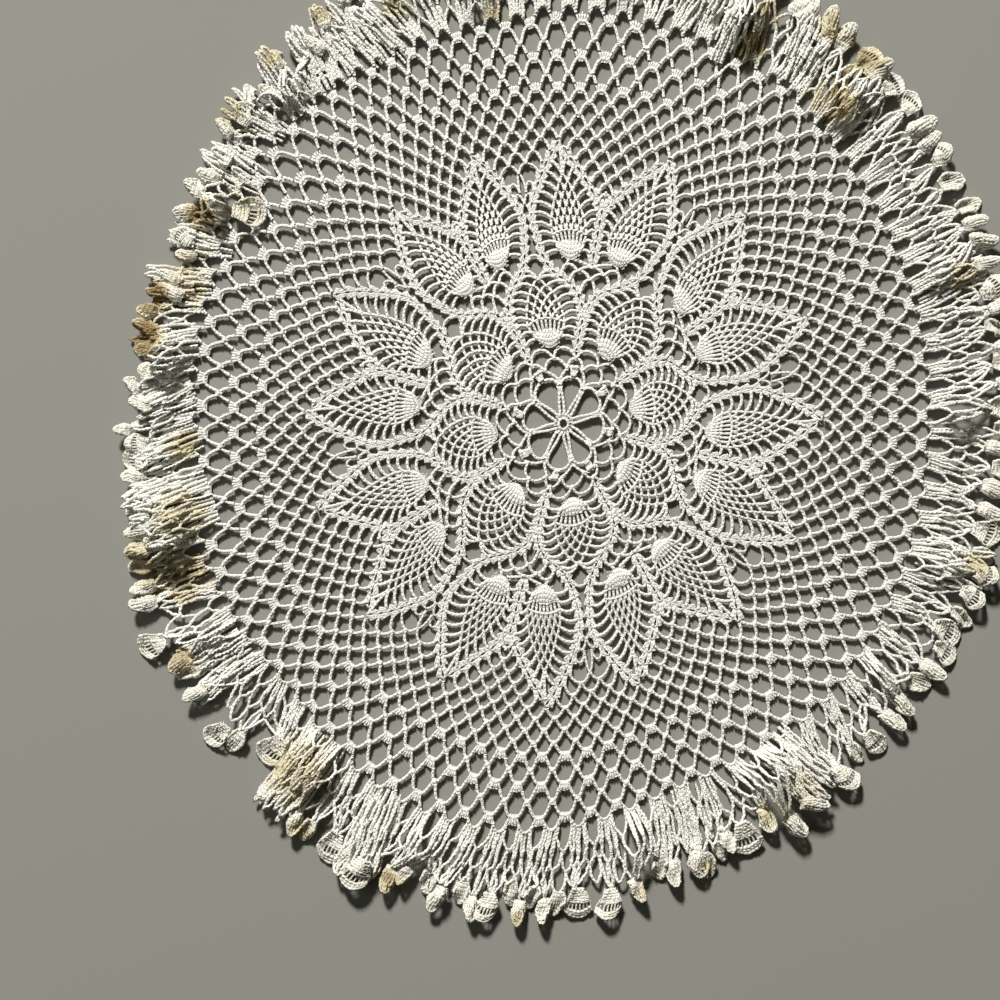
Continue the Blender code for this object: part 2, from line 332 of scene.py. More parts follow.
def plait_group():
    """Height of the chain's plait from the place along and around the thread."""
    group = bpy.data.node_groups.new("chain_plait", "ShaderNodeTree")
    group.interface.new_socket("Stitch", in_out="INPUT", socket_type="NodeSocketFloat")
    group.interface.new_socket("Height", in_out="OUTPUT", socket_type="NodeSocketFloat")
    source = node(group, "NodeGroupInput")
    along = node(group, "ShaderNodeAttribute", attribute_name="along").outputs["Fac"]
    ring = node(group, "ShaderNodeAttribute", attribute_name="around").outputs["Vector"]
    split = node(group, "ShaderNodeSeparateXYZ", Vector=ring)
    angle = math_node(group, "ARCTAN2", split.outputs["Y"], split.outputs["X"])
    turns = math_node(group, "DIVIDE", along, source.outputs["Stitch"])
    phase = math_node(group, "MULTIPLY", turns, 2.0 * math.pi)

    def wave(phases, leans):
        parts = (math_node(group, "MULTIPLY", *pair) for pair in ((phase, phases), (angle, leans)))
        return math_node(group, "SINE", math_node(group, "ADD", *parts))

    top = math_node(group, "MAXIMUM", wave(1.0, 2.0), wave(1.0, -2.0))
    total = math_node(group, "MULTIPLY_ADD", wave(PLY_TURNS, PLY_LEAN), PLY_SHARE, top)
    node(group, "NodeGroupOutput", Height=math_node(group, "MULTIPLY_ADD", total, 0.5, 0.5))
    return group


PLAIT = plait_group()
# The plait's height where its painted groove shade is full and where there is none, and its bump;
# then the blotches of stain and painted shade, the noise from which they start and are full, and how
# much shows between them.
FULL_GROOVE_SHADE, NO_GROOVE_SHADE, PLAIT_STRENGTH, PLAIT_DEPTH = -0.5, 0.6, 0.9, 0.4 * MM
BLOTCH = {"Scale": 120.0, "Detail": 3.0, "Roughness": 0.6}
BLOTCH_FROM, BLOTCH_TO, BLOTCH_LEAST = 0.30, 0.62, 0.35
UNSTAINED = (1.0, 1.0, 1.0, 1.0)
YELLOW_AT = 0.45          # the stain_shade at which a stain is yellow; at 1 it is brown, for stain and painted recess shade
COTTON_FINISH = {"Roughness": 0.82, "Sheen Weight": 0.25, "Sheen Roughness": 0.5,
                 "Specular IOR Level": 0.25}


def mixed(tree, blend, factor, a, b):
    """Two colours mixed.  Of a mix node's sockets, 6 and 7 take the colours and 2 gives one."""
    made = node(tree, "ShaderNodeMix", data_type="RGBA", blend_type=blend)
    for k, value in ((0, factor), (6, a), (7, b)):
        feed(tree, made.inputs[k], value)
    return made.outputs[2]


def cotton(name, light, painted_groove_shade, yellowed, brown_stain_and_shade):
    """Crocheted cotton: creamy where the thread is raised, greyer in its grooves with painted shade,
    and tinted as far as the attribute stain_shade of its piece says, in blotches, first yellow and then
    brown, for stains and painted recess shade."""
    material = bpy.data.materials.new(name)
    material.use_nodes = True
    tree = material.node_tree
    shader = tree.nodes["Principled BSDF"]
    height = node(tree, "ShaderNodeGroup", node_tree=PLAIT, Stitch=STITCH).outputs["Height"]
    # painted shade: the grooves of the plait take the darker colour, the raised thread its own
    shade = node(tree, "ShaderNodeMapRange", Value=height, From_Min=FULL_GROOVE_SHADE, From_Max=NO_GROOVE_SHADE)
    thread = mixed(tree, "MIX", shade.outputs["Result"], (*painted_groove_shade, 1.0), (*light, 1.0))
    place = node(tree, "ShaderNodeTexCoord").outputs["Object"]
    blotch = node(tree, "ShaderNodeTexNoise", Vector=place, **BLOTCH)
    broken = node(tree, "ShaderNodeMapRange", Value=blotch.outputs["Fac"], From_Min=BLOTCH_FROM,
                  From_Max=BLOTCH_TO, To_Min=BLOTCH_LEAST)
    stain_shade = node(tree, "ShaderNodeAttribute", attribute_name="stain_shade").outputs["Fac"]
    blotched_stain_shade = math_node(tree, "MULTIPLY", stain_shade, broken.outputs["Result"])
    tint = node(tree, "ShaderNodeValToRGB", Fac=blotched_stain_shade)
    stops = tint.color_ramp.elements
    stops[0].color, stops[1].color = UNSTAINED, (*brown_stain_and_shade, 1.0)
    stops.new(YELLOW_AT).color = (*yellowed, 1.0)
    bump = node(tree, "ShaderNodeBump", Strength=PLAIT_STRENGTH, Distance=PLAIT_DEPTH, Height=height)
    feed(tree, shader.inputs["Base Color"], mixed(tree, "MULTIPLY", 1.0, thread, tint.outputs["Color"]))
    feed(tree, shader.inputs["Normal"], bump.outputs["Normal"])
    for socket, value in COTTON_FINISH.items():
        shader.inputs[socket].default_value = value
    return material


# the second colour is painted shade in the grooves of the plait
GROUND_COTTON = cotton("ground_cotton_thread", (0.87, 0.862, 0.80), (0.42, 0.39, 0.30),
                       (0.97, 0.93, 0.82), (0.80, 0.70, 0.50))
GROUND = (GROUND_COTTON, "ground_cotton", "doily_ground")

AXES = [FIRST_AXIS + k * SECTOR for k in range(SECTORS)]
HANDS = (-1.0, 1.0)       # clockwise and counter-clockwise of an axis
FLOWER, FLOWER_LOW = 0.71 * MM, 0.1 * MM
RING, RING_CORNERS = 5.2, 12
RING_STITCHES, STITCH_RHO, STITCH_TURN, STITCH_LONG = 16, 8.2, 6.0, 4.0
# Places are rho and degrees, from an axis or, in the petals, from halfway to the next.
LONG_TREBLE = ((8.5, 15), (17, 8.4), (27, 3.6), (35, 1.8))
CATCH_RHO, CATCH_LONG, CATCH_SIDES = 34.5, 11.0, (-3.2, 0.0, 3.2)
PETAL, PETAL_THICK, PETAL_CURVE = ((36, -21.5), (43.5, 0), (36, 21.5)), 1.1 * FLOWER, 2.8
# A petal's block of trebles: rho and spacing at foot and head, and of the humps on it.
BLOCK_ENDS, BLOCK_SIDES = ((43, 0.6), (54.5, 1.25)), (-3, -1, 1, 3)
BLOCK_THICK, BLOCK_LIFT = 0.80 * MM, 0.4 * MM
HUMP_ROWS, HUMP_SIDES, HUMP_UP, HUMP = ((45.5, 0.7), (52.5, 1)), (-2.5, 0, 2.5), 1.9 * MM, 0.8 * MM
ROUND_STRANDS = (((40, 0), (45.5, 6), (51.5, 13)), ((51.5, 13), (53.6, 18), (54, 20.5)))
ROUND_LOOPS = (((51.5, -13), (61, 0), (51.5, 13)),
               ((51.5, 13), (61.5, HALF), (51.5, HALF + 9.5)))
LAST_KNOT, LAST_LOOP = 61, ((61.2, 0), (71, 0.5 * HALF), (61.2, HALF))
yarn = []
strand(yarn, [(RING, a * 360.0 / RING_CORNERS) for a in range(RING_CORNERS + 1)], FLOWER)
for a in range(RING_STITCHES):
    knot(yarn, STITCH_RHO, a * 360.0 / RING_STITCHES + STITCH_TURN, STITCH_LONG, FLOWER, FLOWER_LOW)
for axis in AXES:
    for hand in HANDS:
        # a pair of long trebles, apart at the ring and caught together in the knot
        strand(yarn, beside(axis, hand, LONG_TREBLE), FLOWER)
    for side in CATCH_SIDES:
        knot(yarn, CATCH_RHO, axis + side, CATCH_LONG, FLOWER, FLOWER_LOW)
    beta = axis + HALF
    loop(yarn, *beside(beta, 1.0, PETAL), PETAL_THICK, PETAL_CURVE)
    for side in BLOCK_SIDES:
        foot, top = (lay(rho, beta + apart * side) for rho, apart in BLOCK_ENDS)
        post(yarn, foot, top, BLOCK_THICK, BLOCK_LIFT)
    for side in HUMP_SIDES:
        for rho, apart in HUMP_ROWS:
            hump_at(yarn, lay(rho, beta + apart * side), HUMP_UP, HUMP)
    # the two rounds of loops around the flower
    for hand in HANDS:
        for places in ROUND_STRANDS:
            strand(yarn, beside(axis, hand, places), FLOWER)
        knot(yarn, *beside(axis, hand, ROUND_STRANDS[1])[0])
    for places in ROUND_LOOPS:
        loop(yarn, *beside(axis, 1.0, places), FLOWER)
    for start in (axis, beta):
        knot(yarn, LAST_KNOT, start)
        loop(yarn, *beside(start, 1.0, LAST_LOOP), FLOWER)
FLOWER_PIECE = spin("centre_flower", yarn, *GROUND)

# ----------------------------------------
# Shell columns.  Blocks of three and three trebles, each worked into the gap of the one below,
# climb between the pineapples, part around the inner ones, run together above their tips, and
# part again around the outer pairs.
# ----------------------------------------
TIP_SIDE = 10.23          # an outer tip from the nearest inner axis, in degrees
# Places up one branch, as rho and degrees from the inner axis (shared columns stand at HALF).
SHARED = ((66, 22.5), (70.5, 22.5), (79.5, 22.5), (88.5, 22.5), (97.5, 22.5))
BRANCH = ((97.5, 22.4), (105.5, 21.7), (113, 20.4), (120, 18.3), (126.5, 15.7), (132, 12.7),
          (137, 9.3), (143, 6.6), (150, 4.6), (158.5, 3.3), (168, 2.6), (178.5, 2),
          (189, 1.5), (199.5, 1.6), (210, 2.3), (220, 3.6), (230, 4.9), (240, 6.1),
          (250, 7.4), (259.5, 8.8), (268.5, TIP_SIDE))
PAIR_COLUMN = ((149, 22.5), (160, 22.5), (171, 22.5), (182, 22.5), (193, 22.5), (203, 22.5))
PAIR_BRANCH = ((203, 22.2), (213, 20.4), (223, 18.5), (233, 16.6), (243, 14.8),
               (253, 12.9), (263, 11.4))
SHELL_WIDTH, SLIM_SHELL = 4.7 * MM, 3.5 * MM
SLIM_SIDE = 2.7           # nearer the axis than this, two columns run side by side
CLOSE_SIDES = 4           # sides of a thread in close work
SHELL_STARTS, SHELL_ENDS = (0.05, 0.14, 0.24), (0.25, 0.42, 0.58)
SHELL_POST, SHELL_LIFT = 0.57 * MM, 0.30 * MM
# How far its trebles and its chain stand up the column, in mm, and how much that falls outwards.
FEET_UP, HEADS_UP, ARCH_UP = (0.9, 3.0), (0.6, 2.2), (0.9, 2.2)
ARCH_POINTS, ARCH_HALF, ARCH_RISE, ARCH_THICK = 5, 0.24, 0.9 * MM, 0.56 * MM


def aside_of(way):
    """A level direction a quarter turn from another."""
    return Vector((-way.y, way.x, 0.0))


def shell_column(yarn, path, widths):
    """Shells along a path of places: three trebles to each side of a small slit, joined over it
    by a chain that the next shell is worked into."""
    for a, b, width in zip(path, path[1:], widths):
        up = (b - a).normalized()
        across = aside_of(up) * width
        for hand in HANDS:
            for start, end in zip(SHELL_STARTS, SHELL_ENDS):
                post(yarn, a + across * hand * start + up * (FEET_UP[0] - FEET_UP[1] * start) * MM,
                     b + across * hand * end + up * (HEADS_UP[0] - HEADS_UP[1] * end) * MM,
                     SHELL_POST, SHELL_LIFT)
        arch = [b + across * u * ARCH_HALF + up * (ARCH_UP[0] - ARCH_UP[1] * u * u) * MM
                + raised(ARCH_RISE) for u in spread(ARCH_POINTS)]
        yarn.append((arch, [ARCH_THICK] * ARCH_POINTS))


yarn = []
for axis in AXES:
    for hand, column in ((1.0, SHARED), (1.0, PAIR_COLUMN), (-1.0, BRANCH), (-1.0, PAIR_BRANCH),
                         (1.0, BRANCH), (1.0, PAIR_BRANCH)):
        widths = [SLIM_SHELL if min(a[1], b[1]) < SLIM_SIDE else SHELL_WIDTH
                  for a, b in zip(column, column[1:])]
        shell_column(yarn, [lay(*place) for place in beside(axis, hand, column)], widths)
SHELL_COLUMNS = spin("shell_columns", yarn, *GROUND, CLOSE_SIDES)

# ----------------------------------------
# The pineapples.  A fan of trebles, a row of small loops on it, and fewer loops each row up to
# one at the tip.  Bars of chain tie its two edges to the shell columns beside it.
# ----------------------------------------
# fan: rho and half width at its foot, at the end of its close part, and at the end of the slits.
# levels: rho and half width of each row of nodes in the lattice, one node fewer each row.
INNER = {
    "fan": ((71, 7.5), (89, 15), (98.5, 19.5)), "trebles": 9,
    "levels": ((98.5, 19.5), (104.7, 19.6), (110.7, 18.2), (116.7, 15.7), (122.7, 12.2), (128.9, 6.7),
               (135, 0)),
    "sides": ((79, 8.4), (87, 13.8)), "tip": (135, 0.4),
}
OUTER = {
    "fan": ((152.5, 7.5), (171.5, 14), (180.5, 17)), "trebles": 9,
    "levels": ((180.5, 17), (188, 17.2), (196, 15.9), (204, 13.8), (212, 11), (220, 7.6),
               (228, 4.2), (235.5, 0)),
    "sides": ((160, 7.2), (168.5, 12.2)), "tip": (235.5, 0.5),
}
DROOP, FOOT_DROOP = 3.6, 1.4         # how far a row's ends lie back from its middle
FAN_POST, FAN_LIFT, SLIT_POST, SLIT_LIFT = 0.84 * MM, 0.75 * MM, 0.66 * MM, 0.2 * MM
FAN_HUMPS, FAN_HUMP_UP, FAN_HUMP = (0.22, 0.42, 0.62, 0.84), 1.45 * MM, 0.66 * MM
THIN, LATTICE_LOW, LATTICE_CURVE = 0.68 * MM, 0.2 * MM, 2.3      # its close lattice of loops


def pineapple(yarn, kind, lean):
    """One pineapple; lean(rho) is the bearing of its axis.  Returns the nodes of its edge."""
    def spot(rho, aside):
        return rho, lean(rho) + math.degrees(aside / rho)

    count, levels = kind["trebles"], kind["levels"]
    (foot_rho, foot_half), (close_rho, close_half), (slit_rho, slit_half) = kind["fan"]
    for rank in spread(count):
        back = DROOP * rank * rank
        foot = lay(*spot(foot_rho + FOOT_DROOP * back, rank * foot_half))
        head = lay(*spot(close_rho - back, rank * close_half))
        far = lay(*spot(slit_rho - back, rank * slit_half))
        post(yarn, foot, head, FAN_POST, FAN_LIFT)
        # the round below shows between them as small humps
        for share in FAN_HUMPS if rank < 1.0 else ():
            half = foot_half + (close_half - foot_half) * share
            between = (rank + 1.0 / (count - 1)) * half
            hump_at(yarn, lay(*spot(foot_rho + (close_rho - foot_rho) * share - back, between)),
                    FAN_HUMP_UP, FAN_HUMP)
        post(yarn, head, far, SLIT_POST, SLIT_LIFT)
    widest = max(half for rho, half in levels)

    def nodes(level):
        rho, half = levels[level]
        number = len(levels) - level
        ranks = spread(number) if number > 1 else [0.0]
        return [(rho - DROOP * (rank * half / widest) ** 2, rank * half) for rank in ranks]

    below = nodes(0)
    strand(yarn, [spot(*place) for place in below], THIN, LATTICE_LOW)
    edge = [*kind["sides"], below[-1]]
    for level in range(1, len(levels)):
        tops = nodes(level)
        for a, top, b in zip(below, tops, below[1:]):
            loop(yarn, spot(*a), spot(*top), spot(*b), THIN, LATTICE_CURVE)
        below = tops
        edge.append(below[-1])
    return edge + [kind["tip"]], spot


BAR, BAR_LOW, BAR_BOW, BAR_PLACES = 0.80 * MM, 0.1 * MM, 2.6, (0.0, 0.25, 0.5, 0.75, 1.0)


def bars(yarn, edge, spot, hand, column):
    """Chain bars from a pineapple's edge to the shells beside it, bowed towards the tip."""
    for (rho, half), (far, bearing) in zip(edge, column):
        a, b = spot(rho, hand * half), (far, bearing)
        chart = [(a[0] + (b[0] - a[0]) * t + BAR_BOW * math.sin(math.pi * t), a[1] + (b[1] - a[1]) * t)
                 for t in BAR_PLACES]
        strand(yarn, chart, BAR, BAR_LOW)


# The bars end on the near edge of a column: how far that is from its middle, in degrees at rho 1.
INNER_INSET, OUTER_INSET, SLIM_INSET = 220.0, 240.0, 130.0
INNER_TIES = [(rho, side - INNER_INSET / rho) for rho, side in SHARED[2:] + BRANCH[1:8]]
OUTER_TIES = [(rho, side + (SLIM_INSET if side < SLIM_SIDE else OUTER_INSET) / rho)
              for rho, side in BRANCH[9:19]]
PAIR_TIES = [(rho, side - OUTER_INSET / rho) for rho, side in PAIR_COLUMN[1:] + PAIR_BRANCH[1:]]
TIP_LOOP, TIP_THICK = ((151, -3.6), (157.5, 0), (151, 3.6)), 0.66 * MM
yarn = []
for axis in AXES:
    edge, spot = pineapple(yarn, INNER, lambda rho: axis)
    for hand in HANDS:
        bars(yarn, edge, spot, hand, beside(axis, hand, INNER_TIES))
    loop(yarn, *beside(axis, 1.0, TIP_LOOP), TIP_THICK)
PINEAPPLES = [spin("inner_pineapples", yarn, *GROUND)]

FOOT_SIDE, LEAN_FROM, LEAN_TO = 14.1, 150.0, 256.0
# The close net in the fork of the inner branches: loops on its axis, and to each hand of it.
FORK = 0.80 * MM
FORK_FIRST = ((121, -3.6), (135.5, 0), (121, 3.6))
FORK_LAST = ((142, -5.3), (147.5, 0), (142, 5.3))
FORK_LOOPS = (((135, 0), (142.5, 5.3), (131, 9)), ((142, 5.3), (148, 10), (137, 12.4)))
FORK_STRANDS = (((147, 0), (150, 3), (153, 7)), ((148, 10), (153.5, 9)))
yarn = []
for axis in AXES:
    for hand in HANDS:
        def lean(rho):
            t = min(1.0, (rho - LEAN_FROM) / (LEAN_TO - LEAN_FROM))
            return axis + hand * (FOOT_SIDE + (TIP_SIDE - FOOT_SIDE) * t)

        edge, spot = pineapple(yarn, OUTER, lean)
        bars(yarn, edge, spot, -hand, beside(axis, hand, OUTER_TIES))
        bars(yarn, edge, spot, hand, beside(axis, hand, PAIR_TIES))
    beta = axis + HALF
    loop(yarn, *beside(beta, 1.0, FORK_FIRST), FORK)
    for hand in HANDS:
        for places in FORK_LOOPS:
            loop(yarn, *beside(beta, hand, places), FORK)
        for places in FORK_STRANDS:
            strand(yarn, beside(beta, hand, places), FORK)
    loop(yarn, *beside(beta, 1.0, FORK_LAST), FORK)
PINEAPPLES.append(spin("outer_pineapples", yarn, *GROUND))

# ----------------------------------------
# The diamond net.  Eighty-eight loops to a round from the tips of the pineapples to the edge,
# each fastened on the top of a loop below, with a block of five trebles at every loop of three
# of the rounds; below the tips it fills the forks between the shell columns.
# ----------------------------------------
LOOPS = 88
PITCH = 360.0 / LOOPS
# The fork on the axis, loop by loop with their thickness in mm, and the rounds that fill each fork:
# rho of the tops, where these stand in pitches, and how many degrees aside the feet may go.
AXIS_FIRST = ((199, -1.4), (209, 0), (199, 1.4))
AXIS_LAST = ((221, -1), (241, 0), (221, 1))
AXIS_LOOPS = (
    (((209.5, 0.0), (220.0, 1.7), (210.0, 2.3)), 0.6), (((221.0, 0.8), (231.5, 2.3), (222.0, 3.6)), 0.6),
    (((241.0, 0.0), (251.0, 0.5 * PITCH), (239.0, 5.3)), 0.66),
)
AXIS_THICK, AXIS_DROP, PAIR_DROP = 0.6 * MM, 11.0, 10.8
AXIS_ROUNDS = ((261.5, (-1, 0, 1), 7), (272, (-1.5, -0.5, 0.5, 1.5), 9))
PAIR_ROUNDS = ((219, (0,), 2.4), (229.5, (0,), 4.2), (240, (-0.5, 0.5), 5.8), (250.5, (-1, 0, 1), 7.6),
               (261.5, (-1.5, -0.5, 0.5, 1.5), 9.6), (272, (-2, -1, 0, 1, 2), 11.4))
# The whole rounds: rho of the tops, and whether these stand half a pitch off the inner axes.
ROUNDS = ((282, False), (293, True), (305, False), (317, True), (330.5, False), (344, True),
          (358.5, False), (373, True), (385, False))
BLOCK_ROUNDS = (317, 344, 373)
NET, NET_CURVE, BLOCK_CURVE = 0.79 * MM, 2.15, 0.3   # thick, how square, and more under a block
NET_KNOT, NET_KNOT_THICK = 5.6, 1.4 * CHAIN
CORNER, FOOT_UP = 0.25, 0.3          # how far a foot stands off a plain top, in degrees and steps
# A block: steps deep and half wide; its trebles' ends and spread as shares of that, and in mm
# their thickness and lift.
BLOCK, BLOCK_HALF, BLOCK_TREBLES, BLOCK_FOOT_UP = 10.5, 6.2, 5, 0.55
TREBLE_LOW, TREBLE_HIGH, TREBLE_CROWN = 0.3, (0.54, 0.66), 0.10
TREBLE_SPREAD, TREBLE_THICK, TREBLE_LIFT = (0.36, 0.95), (0.56, 0.7), (0.3, 0.7)


def fill_fork(yarn, axis, rounds, drop):
    """Rounds of loops in a fork, each loop fastened by a knot on its top."""
    for top, tops, reach in rounds:
        for i in tops:
            left, right = (max(-reach, min(reach, (i + d) * PITCH)) for d in (-0.5, 0.5))
            loop(yarn, (top - drop, axis + left), (top, axis + i * PITCH), (top - drop, axis + right))
            knot(yarn, top, axis + i * PITCH)


BLOCK_SEED = 4
rough = random.Random(BLOCK_SEED)
yarn, blocks = [], []
for axis in AXES:
    loop(yarn, *beside(axis, 1.0, AXIS_FIRST), AXIS_THICK)
    for hand in HANDS:
        for places, thick in AXIS_LOOPS:
            loop(yarn, *beside(axis, hand, places), thick * MM)
    loop(yarn, *beside(axis, 1.0, AXIS_LAST), AXIS_THICK)
    fill_fork(yarn, axis, AXIS_ROUNDS, AXIS_DROP)
    fill_fork(yarn, axis + HALF, PAIR_ROUNDS, PAIR_DROP)
before = AXIS_ROUNDS[-1][0]
for top, half in ROUNDS:
    blocks_below, blocks_here = before in BLOCK_ROUNDS, top in BLOCK_ROUNDS
    corner = math.degrees(BLOCK_HALF / before) if blocks_below else CORNER
    foot = before + (BLOCK_FOOT_UP * BLOCK if blocks_below else FOOT_UP)
    for i in range(LOOPS):
        bearing = FIRST_AXIS + (i + (0.5 if half else 0.0)) * PITCH
        sides = [(foot, bearing + hand * (0.5 * PITCH - corner)) for hand in HANDS]
        curve = NET_CURVE + (BLOCK_CURVE if blocks_here else 0.0)
        loop(yarn, sides[0], (top, bearing), sides[1], NET, curve)
        for rank in spread(BLOCK_TREBLES) if blocks_here else ():
            at_foot, at_head = (bearing + math.degrees(share * rank * BLOCK_HALF / top)
                                for share in TREBLE_SPREAD)
            up = rough.uniform(*TREBLE_HIGH) - TREBLE_CROWN * abs(rank)
            post(blocks, lay(top - TREBLE_LOW * BLOCK, at_foot), lay(top + up * BLOCK, at_head),
                 rough.uniform(*TREBLE_THICK) * MM, rough.uniform(*TREBLE_LIFT) * MM)
        if not blocks_here and top != ROUNDS[-1][0]:
            knot(yarn, top, bearing, NET_KNOT, NET_KNOT_THICK)
    before = top
DIAMOND_NET = spin("diamond_net", yarn, *GROUND)
NET_BLOCKS = spin("net_blocks", blocks, *GROUND, CLOSE_SIDES)

# ----------------------------------------
# The frill.  Worked on after the ground, of the same cotton: three long loops in each edge loop
# and one between, then two rounds of open loops, gathered so close that they hang in bundles, and
# shells of trebles along the rim, most of them folded into tongues.
# ----------------------------------------
# Flutes all round: how many, how high, how much more in places, in how many places, and how late
# they rise.  Of a fold: its crest, and where it and its lean end, from the edge (0) to the rim (1).
FLUTES, FLUTE_RISE, FLUTE_SWELL, SWELLS_ROUND, FLUTE_START = 44, 3.0 * MM, 0.6, 5, 1.5
FOLD_CREST, FOLD_END, LEAN_END = 0.8, 0.9, 0.65
# Folds: bearing, half width in degrees, rise and inward lean in mm, how high the rim stays.
FOLDS = (
    (2, 5, 10, 1, 0.6), (22, 4, 8, 0, 0.9), (49, 5, 13, 2, 0.8),
    (66, 3.6, 14, 4, 0.5), (82, 3, 6, 0, 0.9), (101, 4, 8, 1, 0.6),
    (130, 6, 7, 1, 0.5), (148, 4.5, 11, 4, 0.3), (171, 5, 12, 1, 0.8),
    (195, 8, 17, 5, 0.5), (211, 3, 7, 0, 1), (234, 5.5, 12, 3, 0.6),
    (251, 4, 8, 0, 0.9), (280, 4, 9, 1, 0.7), (301, 6, 15, 5, 0.5),
    (322, 4, 7, 0, 0.9), (340, 4.5, 9, 1, 0.7),
)
# How far its strands lean sideways for each step outwards, counter-clockwise: bearing, slope.
LEAN = (
    (45, 0), (52, 0), (57, -0.1), (61, 0.15), (66, 0.25), (70, -0.15), (75, -0.2),
    (90, -0.05), (105, -0.1), (112, 0.35), (117, 0.3), (122, 0), (127, -0.15),
    (131, -0.1), (134, 0), (137, 0.35), (141, 0.15), (147, 0.1), (153, 0.25),
    (159, 0.35), (166, 0.4), (171, 0.25), (176, 0.35), (182, 0.45), (188, 0.15),
    (192, 0.2), (197, 0.05), (203.6, -0.1), (209, 0), (217, -0.05), (220.4, 0.15),
    (224, 0.55), (229, 0.2), (233, 0), (237, 0.05), (241, -0.05), (244.5, 0.08),
    (249.5, -0.2), (252.2, -0.42), (255.8, -0.33), (259.2, -0.3), (263.2, -0.06), (267.6, -0.14),
    (271.6, -0.15), (275.8, 0.15), (280.2, 0.18), (283.8, 0), (291, -0.12), (294, 0.3),
    (301, 0.4), (307, -0.2), (311.5, -0.3), (317, -0.3), (322, -0.1), (340, 0.15), (355, -0.2),
    (372, 0.1),
)
# How far the strands stray sideways, how often round the rim and down the frill, and from where.
DRIFT, DRIFT_TURNS, DRIFT_DOWN, DRIFT_START = 3.4 * MM, 15.0, 1.1, 2.0
LOWEST = 0.8 * MM         # the least height of a thread's middle over the floor


def turn_from(one, other):
    """The degrees from one bearing to another, from -180 to 180."""
    return (other - one + 180.0) % 360.0 - 180.0


def fold_height(phi, s):
    """Rise and inward lean of the frill, s from the edge loops (0) to the rim (1)."""
    rise = lean_in = 0.0
    for bearing, half, high, lean, tip in FOLDS:
        reach = abs(turn_from(bearing, phi)) / half
        if reach >= 1.0:
            continue
        weight = 0.5 + 0.5 * math.cos(math.pi * reach)
        crest = math.sin(math.pi * min(1.0, max(0.0, s) / FOLD_END) ** FOLD_CREST)
        rise = max(rise, weight * high * MM * max(crest, tip * s))
        lean_in += weight * lean * MM * math.sin(math.pi * min(1.0, max(0.0, s) / LEAN_END))
    return rise, lean_in


def edge_and_reach(bearing, phi):
    """How far from the centre the edge and the rim of the frill lie there."""
    near = (EDGE_RING * around("edge", bearing) + smooth_round(EDGE_DRAWN, phi)) * STEP
    return near, around("reach", bearing) * MM


def frill_place(bearing, s, z=0.0):
    """A place on the frill: bearing in the unturned lace, s from edge to rim, z above its middle."""
    phi = bearing + around("turn", bearing)
    near, far = edge_and_reach(bearing, phi)
    turns = math.radians(phi)
    drift = noise.noise(Vector((math.cos(turns) * DRIFT_TURNS, math.sin(turns) * DRIFT_TURNS,
                                DRIFT_DOWN * s)))
    depth = (far - near) * max(0.0, s)
    aside = depth * smooth_round(LEAN, phi) + drift * DRIFT * min(1.0, DRIFT_START * max(0.0, s))
    lies = turns + aside / (near + depth)
    rise, lean_in = fold_height(math.degrees(lies), s)
    turned = math.radians(bearing)
    swell = 1.0 + FLUTE_SWELL * math.sin(SWELLS_ROUND * turned)
    flute = FLUTE_RISE * swell * max(0.0, s) ** FLUTE_START * (0.5 - 0.5 * math.cos(FLUTES * turned))
    r = near + (far - near) * s - lean_in
    high = max(rise, flute, LIFT * (1.0 - s))
    return Vector((r * math.cos(lies), r * math.sin(lies), LOWEST + high + z))


# Stains: bearing, mm from the centre, radius in mm, strength.  The deep ones are brown stain and
# painted shade in the recesses, so they go only on the threads that lie lowest.
STAINS = (
    (200.7, 188, 13, 1), (193.5, 180, 15, 0.55), (183.3, 174, 10, 0.6),
    (196.4, 204.7, 10, 0.7), (199.5, 203, 9, 1.4), (211.6, 207, 9, 1),
    (203.5, 190, 9, 0.7), (232.4, 201, 20, 0.5), (237, 222, 9, 0.6),
    (249.2, 225, 10, 0.9), (264.5, 228, 6, 0.6), (279.8, 218, 7, 0.5),
    (288, 215, 7, 0.5), (298, 201.6, 10, 0.6), (302.5, 200, 13, 0.35),
    (146.3, 178, 15, 0.4), (150, 192, 9, 1.3), (158, 186, 13, 0.5),
    (163, 197, 11, 1.3), (168.4, 198, 12, 1.6), (128.4, 215, 8, 0.7),
    (137, 210, 10, 0.8), (120.8, 219, 7, 0.7), (48.8, 192, 9, 0.9),
    (51.9, 190, 10, 0.5), (50.7, 218, 13, 0.9), (56, 219, 9, 0.7),
    (63.4, 193, 9, 1), (63.6, 210, 9, 1), (99.7, 192, 7, 0.6),
    (111.7, 207, 11, 0.5), (20, 195, 10, 0.6), (341, 200, 9, 0.6), (6, 208, 8, 0.7),
)
RECESS_STAINS_AND_SHADE = (
    (201.7, 181, 13, 1.6), (202.2, 195, 15, 1.6), (138, 204, 12, 1.5),
    (150.2, 185, 10, 1.6), (161.5, 184, 11, 1.5), (162.5, 194, 11, 1.5),
    (168.5, 193, 12, 1.6), (49.5, 188, 10, 1.6), (50.5, 203, 13, 1.6),
    (64.3, 186, 11, 1.6), (64.8, 200, 11, 1.6), (57, 206, 12, 1.4),
    (121, 216, 10, 1.4), (100, 190, 9, 1.3), (232.5, 190, 12, 1),
)
STAIN_EDGE = 1.6          # how sharply a stain ends
RECESS_SHADE_TO = 3.2 * MM        # the deep ones, as painted recess shade, fade out from half this height up to it
SHELL_TINT_AND_SHADE = 0.13        # how much yellow and painted shade the shells take all over
# the second colour is painted shade in the grooves, warm like the shadows; the last is brown stain and
# painted recess shade
FRILL_COTTON = cotton("frill_cotton_thread", (0.87, 0.855, 0.785), (0.42, 0.38, 0.28),
                      (0.79, 0.715, 0.52), (0.35, 0.245, 0.10))


